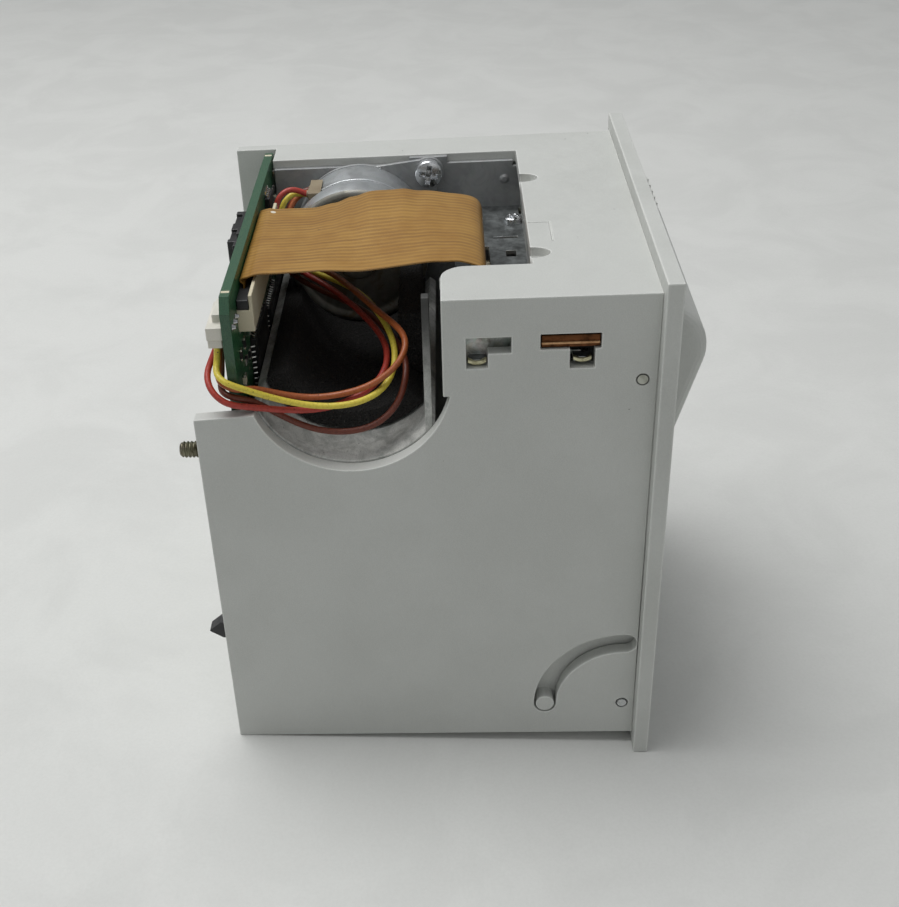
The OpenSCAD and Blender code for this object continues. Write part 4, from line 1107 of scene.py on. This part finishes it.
BY_SLOT = {
    "housing_plastic": housing_plastic, "door_plastic": door_plastic, "trough_plastic": trough_plastic,
    "black_plastic": black_plastic, "natural_plastic": natural_plastic, "zinc_steel": zinc_steel,
    "plated_steel": plated_steel, "yellowed_steel": yellowed_steel, "spring_steel": spring_steel,
    "brass": brass, "bare_aluminium": aluminium, "platen_rubber": rubber, "foam": foam, "ceramic": ceramic,
    "board_green": board_green, "flex_amber": flex_amber,
    **{"wire_" + colour: finish for colour, finish in WIRES.items()},
}
BY_NODE = {
    "bezel": bezel_plastic, "gear_plate": plate_steel, "head_carrier": carrier_steel,
    "motor_flange": plate_steel, "motor_header": white_plastic, "motor_plug": white_plastic,
    "motor_lead_block": aged_plastic, "latch_pins": pin_steel,
}
# Nodes whose edges are rounded, by the radius in millimetres
ROUNDED = {
    name: radius
    for radius, names in (
        (0.04, "button_spring"),
        (0.05, "motor_pinion"),
        (0.06, "tear_bar print_head controller_board platen_gear transfer_gear transfer_wheel"),
        (0.06, "idler_gear_1 idler_gear_2"),
        (0.08, "head_carrier idler_studs"),
        (0.1, "gear_plate motor_flange board_chips platen_bushes platen_rubber transfer_bush"),
        (0.12, "release_button head_connector hinge_pins latch_pins head_pivot"),
        (0.15, "motor_trough bay_partition paper_tray heat_sink paper_sensor flex_socket flex_lock"),
        (0.15, "rear_connector motor_header motor_plug platen_shaft transfer_shaft motor_shaft"),
        (0.16, "housing door"),
        (0.18, "motor_lead_block"),
        (0.2, "rear_catch"),
        (0.22, "bezel"),
    )
    for name in names.split()
}
DOOR_FACE = -1.8
BULGE_HALF, BULGE_LOW, BULGE_ROUNDING = 26.9, 45.0, 1.7


def modifier(obj, name, kind, **settings):
    made = obj.modifiers.new(name, kind)
    for key, value in settings.items():
        setattr(made, key, value)


def mark_bulge_ends(obj):
    """Give the outline of the bulge's two end faces a bevel weight, for the wide rounding there."""
    tree = bpy.data.node_groups.new("bulge_ends", "GeometryNodeTree")
    tree.interface.new_socket("Geometry", in_out="INPUT", socket_type="NodeSocketGeometry")
    tree.interface.new_socket("Geometry", in_out="OUTPUT", socket_type="NodeSocketGeometry")
    made, link = tree.nodes.new, tree.links.new
    source, target = made("NodeGroupInput"), made("NodeGroupOutput")
    split = made("ShaderNodeSeparateXYZ")
    link(made("GeometryNodeInputPosition").outputs[0], split.inputs[0])

    def maths(operation, value, limit=0.0):
        node = made("ShaderNodeMath")
        node.operation = operation
        link(value, node.inputs[0])
        if isinstance(limit, float):
            node.inputs[1].default_value = limit
        else:
            link(limit, node.inputs[1])
        return node.outputs[0]

    offset = maths("ABSOLUTE", maths("SUBTRACT", maths("ABSOLUTE", split.outputs[0]), BULGE_HALF * MM))
    chosen = maths("LESS_THAN", offset, 0.00002)
    chosen = maths("MULTIPLY", chosen, maths("GREATER_THAN", split.outputs[2], (BULGE_LOW + UNDERSIDE_Z) * MM))
    chosen = maths("MULTIPLY", chosen, maths("LESS_THAN", split.outputs[1], (DOOR_FACE - 0.15 - PANEL_Y) * MM))
    store = made("GeometryNodeStoreNamedAttribute")
    store.data_type, store.domain = "FLOAT", "EDGE"
    store.inputs["Name"].default_value = "bevel_weight_edge"
    store.inputs["Value"].default_value = 1.0
    link(source.outputs[0], store.inputs["Geometry"])
    link(chosen, store.inputs["Selection"])
    link(store.outputs[0], target.inputs[0])
    modifier(obj, "bulge_ends", "NODES", node_group=tree)
    modifier(
        obj, "bulge_rounding", "BEVEL",
        limit_method="WEIGHT", width=BULGE_ROUNDING * MM, segments=4, use_clamp_overlap=False,
    )


for node_name, node_object in NODES.items():
    source = node_object.data.materials[0].name.split(".")[0]
    finish = BY_NODE.get(node_name, BY_SLOT[source])
    for material_slot in node_object.material_slots:
        material_slot.link = "OBJECT"
        material_slot.material = finish
    if node_name in ROUNDED and not node_object.hide_render:
        modifier(node_object, "weld", "WELD", merge_threshold=0.000002)
        modifier(node_object, "flatten", "DECIMATE", decimate_type="DISSOLVE", angle_limit=math.radians(0.6))
        if node_name == "door":
            mark_bulge_ends(node_object)
        modifier(
            node_object, "edges", "BEVEL",
            width=ROUNDED[node_name] * MM, segments=2, limit_method="ANGLE", angle_limit=math.radians(34),
            use_clamp_overlap=False, harden_normals=False,
        )
        modifier(node_object, "shading", "WEIGHTED_NORMAL", keep_sharp=True, weight=80)

# ---------------------------------------------------------------- floor, light


def floor_finish():
    made = Finish("pale_paper", 0.8)
    cloud = made.noise(0.03, 5, 0.62, 0.6)
    fine = made.noise(1.6, 4, 0.7)
    tone = made.mix(made.span(cloud, 0.36, 0.66), linear(224, 225, 222), linear(218, 219, 216))
    tone = made.mix(made.span(fine, 0.35, 0.7, 0, 0.12), tone, linear(196, 197, 193))
    made.colour(tone)
    made.rough(fine, 0.75, 0.9)
    made.bump(fine, 0.03, 0.25)
    return made.material


def build_floor():
    """A broad sheet under the lower back edge of the front frame and the rear bottom edge."""
    slope = UNDERSIDE_Z / HOUSING_DEPTH
    half = 1500
    data = bpy.data.meshes.new("floor")
    corners = []
    for x, y in ((-half, -half), (half, -half), (half, half), (-half, half)):
        corners.append(Vector((x, y - PANEL_Y, y * slope)) * MM)
    data.from_pydata(corners, [], [(0, 1, 2, 3)])
    data.materials.append(floor_finish())
    made = bpy.data.objects.new("floor", data)
    SCENE.collection.objects.link(made)


def area_light(name, place, target, size, size_y, power, tint=(1, 1, 1)):
    data = bpy.data.lights.new(name, "AREA")
    data.shape = "RECTANGLE"
    data.size, data.size_y = size, size_y
    data.energy = power
    data.color = tint
    made = bpy.data.objects.new(name, data)
    SCENE.collection.objects.link(made)
    made.location = place
    made.rotation_mode = "QUATERNION"
    made.rotation_quaternion = (Vector(target) - Vector(place)).to_track_quat("-Z", "Y")


def build_light():
    world = bpy.data.worlds.new("studio")
    SCENE.world = world
    world.use_nodes = True
    tree = world.node_tree
    background = tree.nodes["Background"]
    coordinates = tree.nodes.new("ShaderNodeTexCoord")
    split = tree.nodes.new("ShaderNodeSeparateXYZ")
    tree.links.new(coordinates.outputs["Generated"], split.inputs[0])
    ramp = tree.nodes.new("ShaderNodeValToRGB")
    ramp.color_ramp.elements[0].position = 0.0
    ramp.color_ramp.elements[0].color = (0.42, 0.43, 0.43, 1)
    ramp.color_ramp.elements[1].position = 0.9
    ramp.color_ramp.elements[1].color = (0.8, 0.81, 0.82, 1)
    tree.links.new(split.outputs[2], ramp.inputs[0])
    tree.links.new(ramp.outputs[0], background.inputs[0])
    background.inputs[1].default_value = 0.42
    area_light("key", (0.1, 0.22, 0.75), (0.02, 0, 0.04), 0.6, 0.5, 4.35)
    area_light("fill", (-0.9, -0.35, 0.5), (0, 0, 0.04), 0.6, 0.5, 0.3)


build_floor()
build_light()
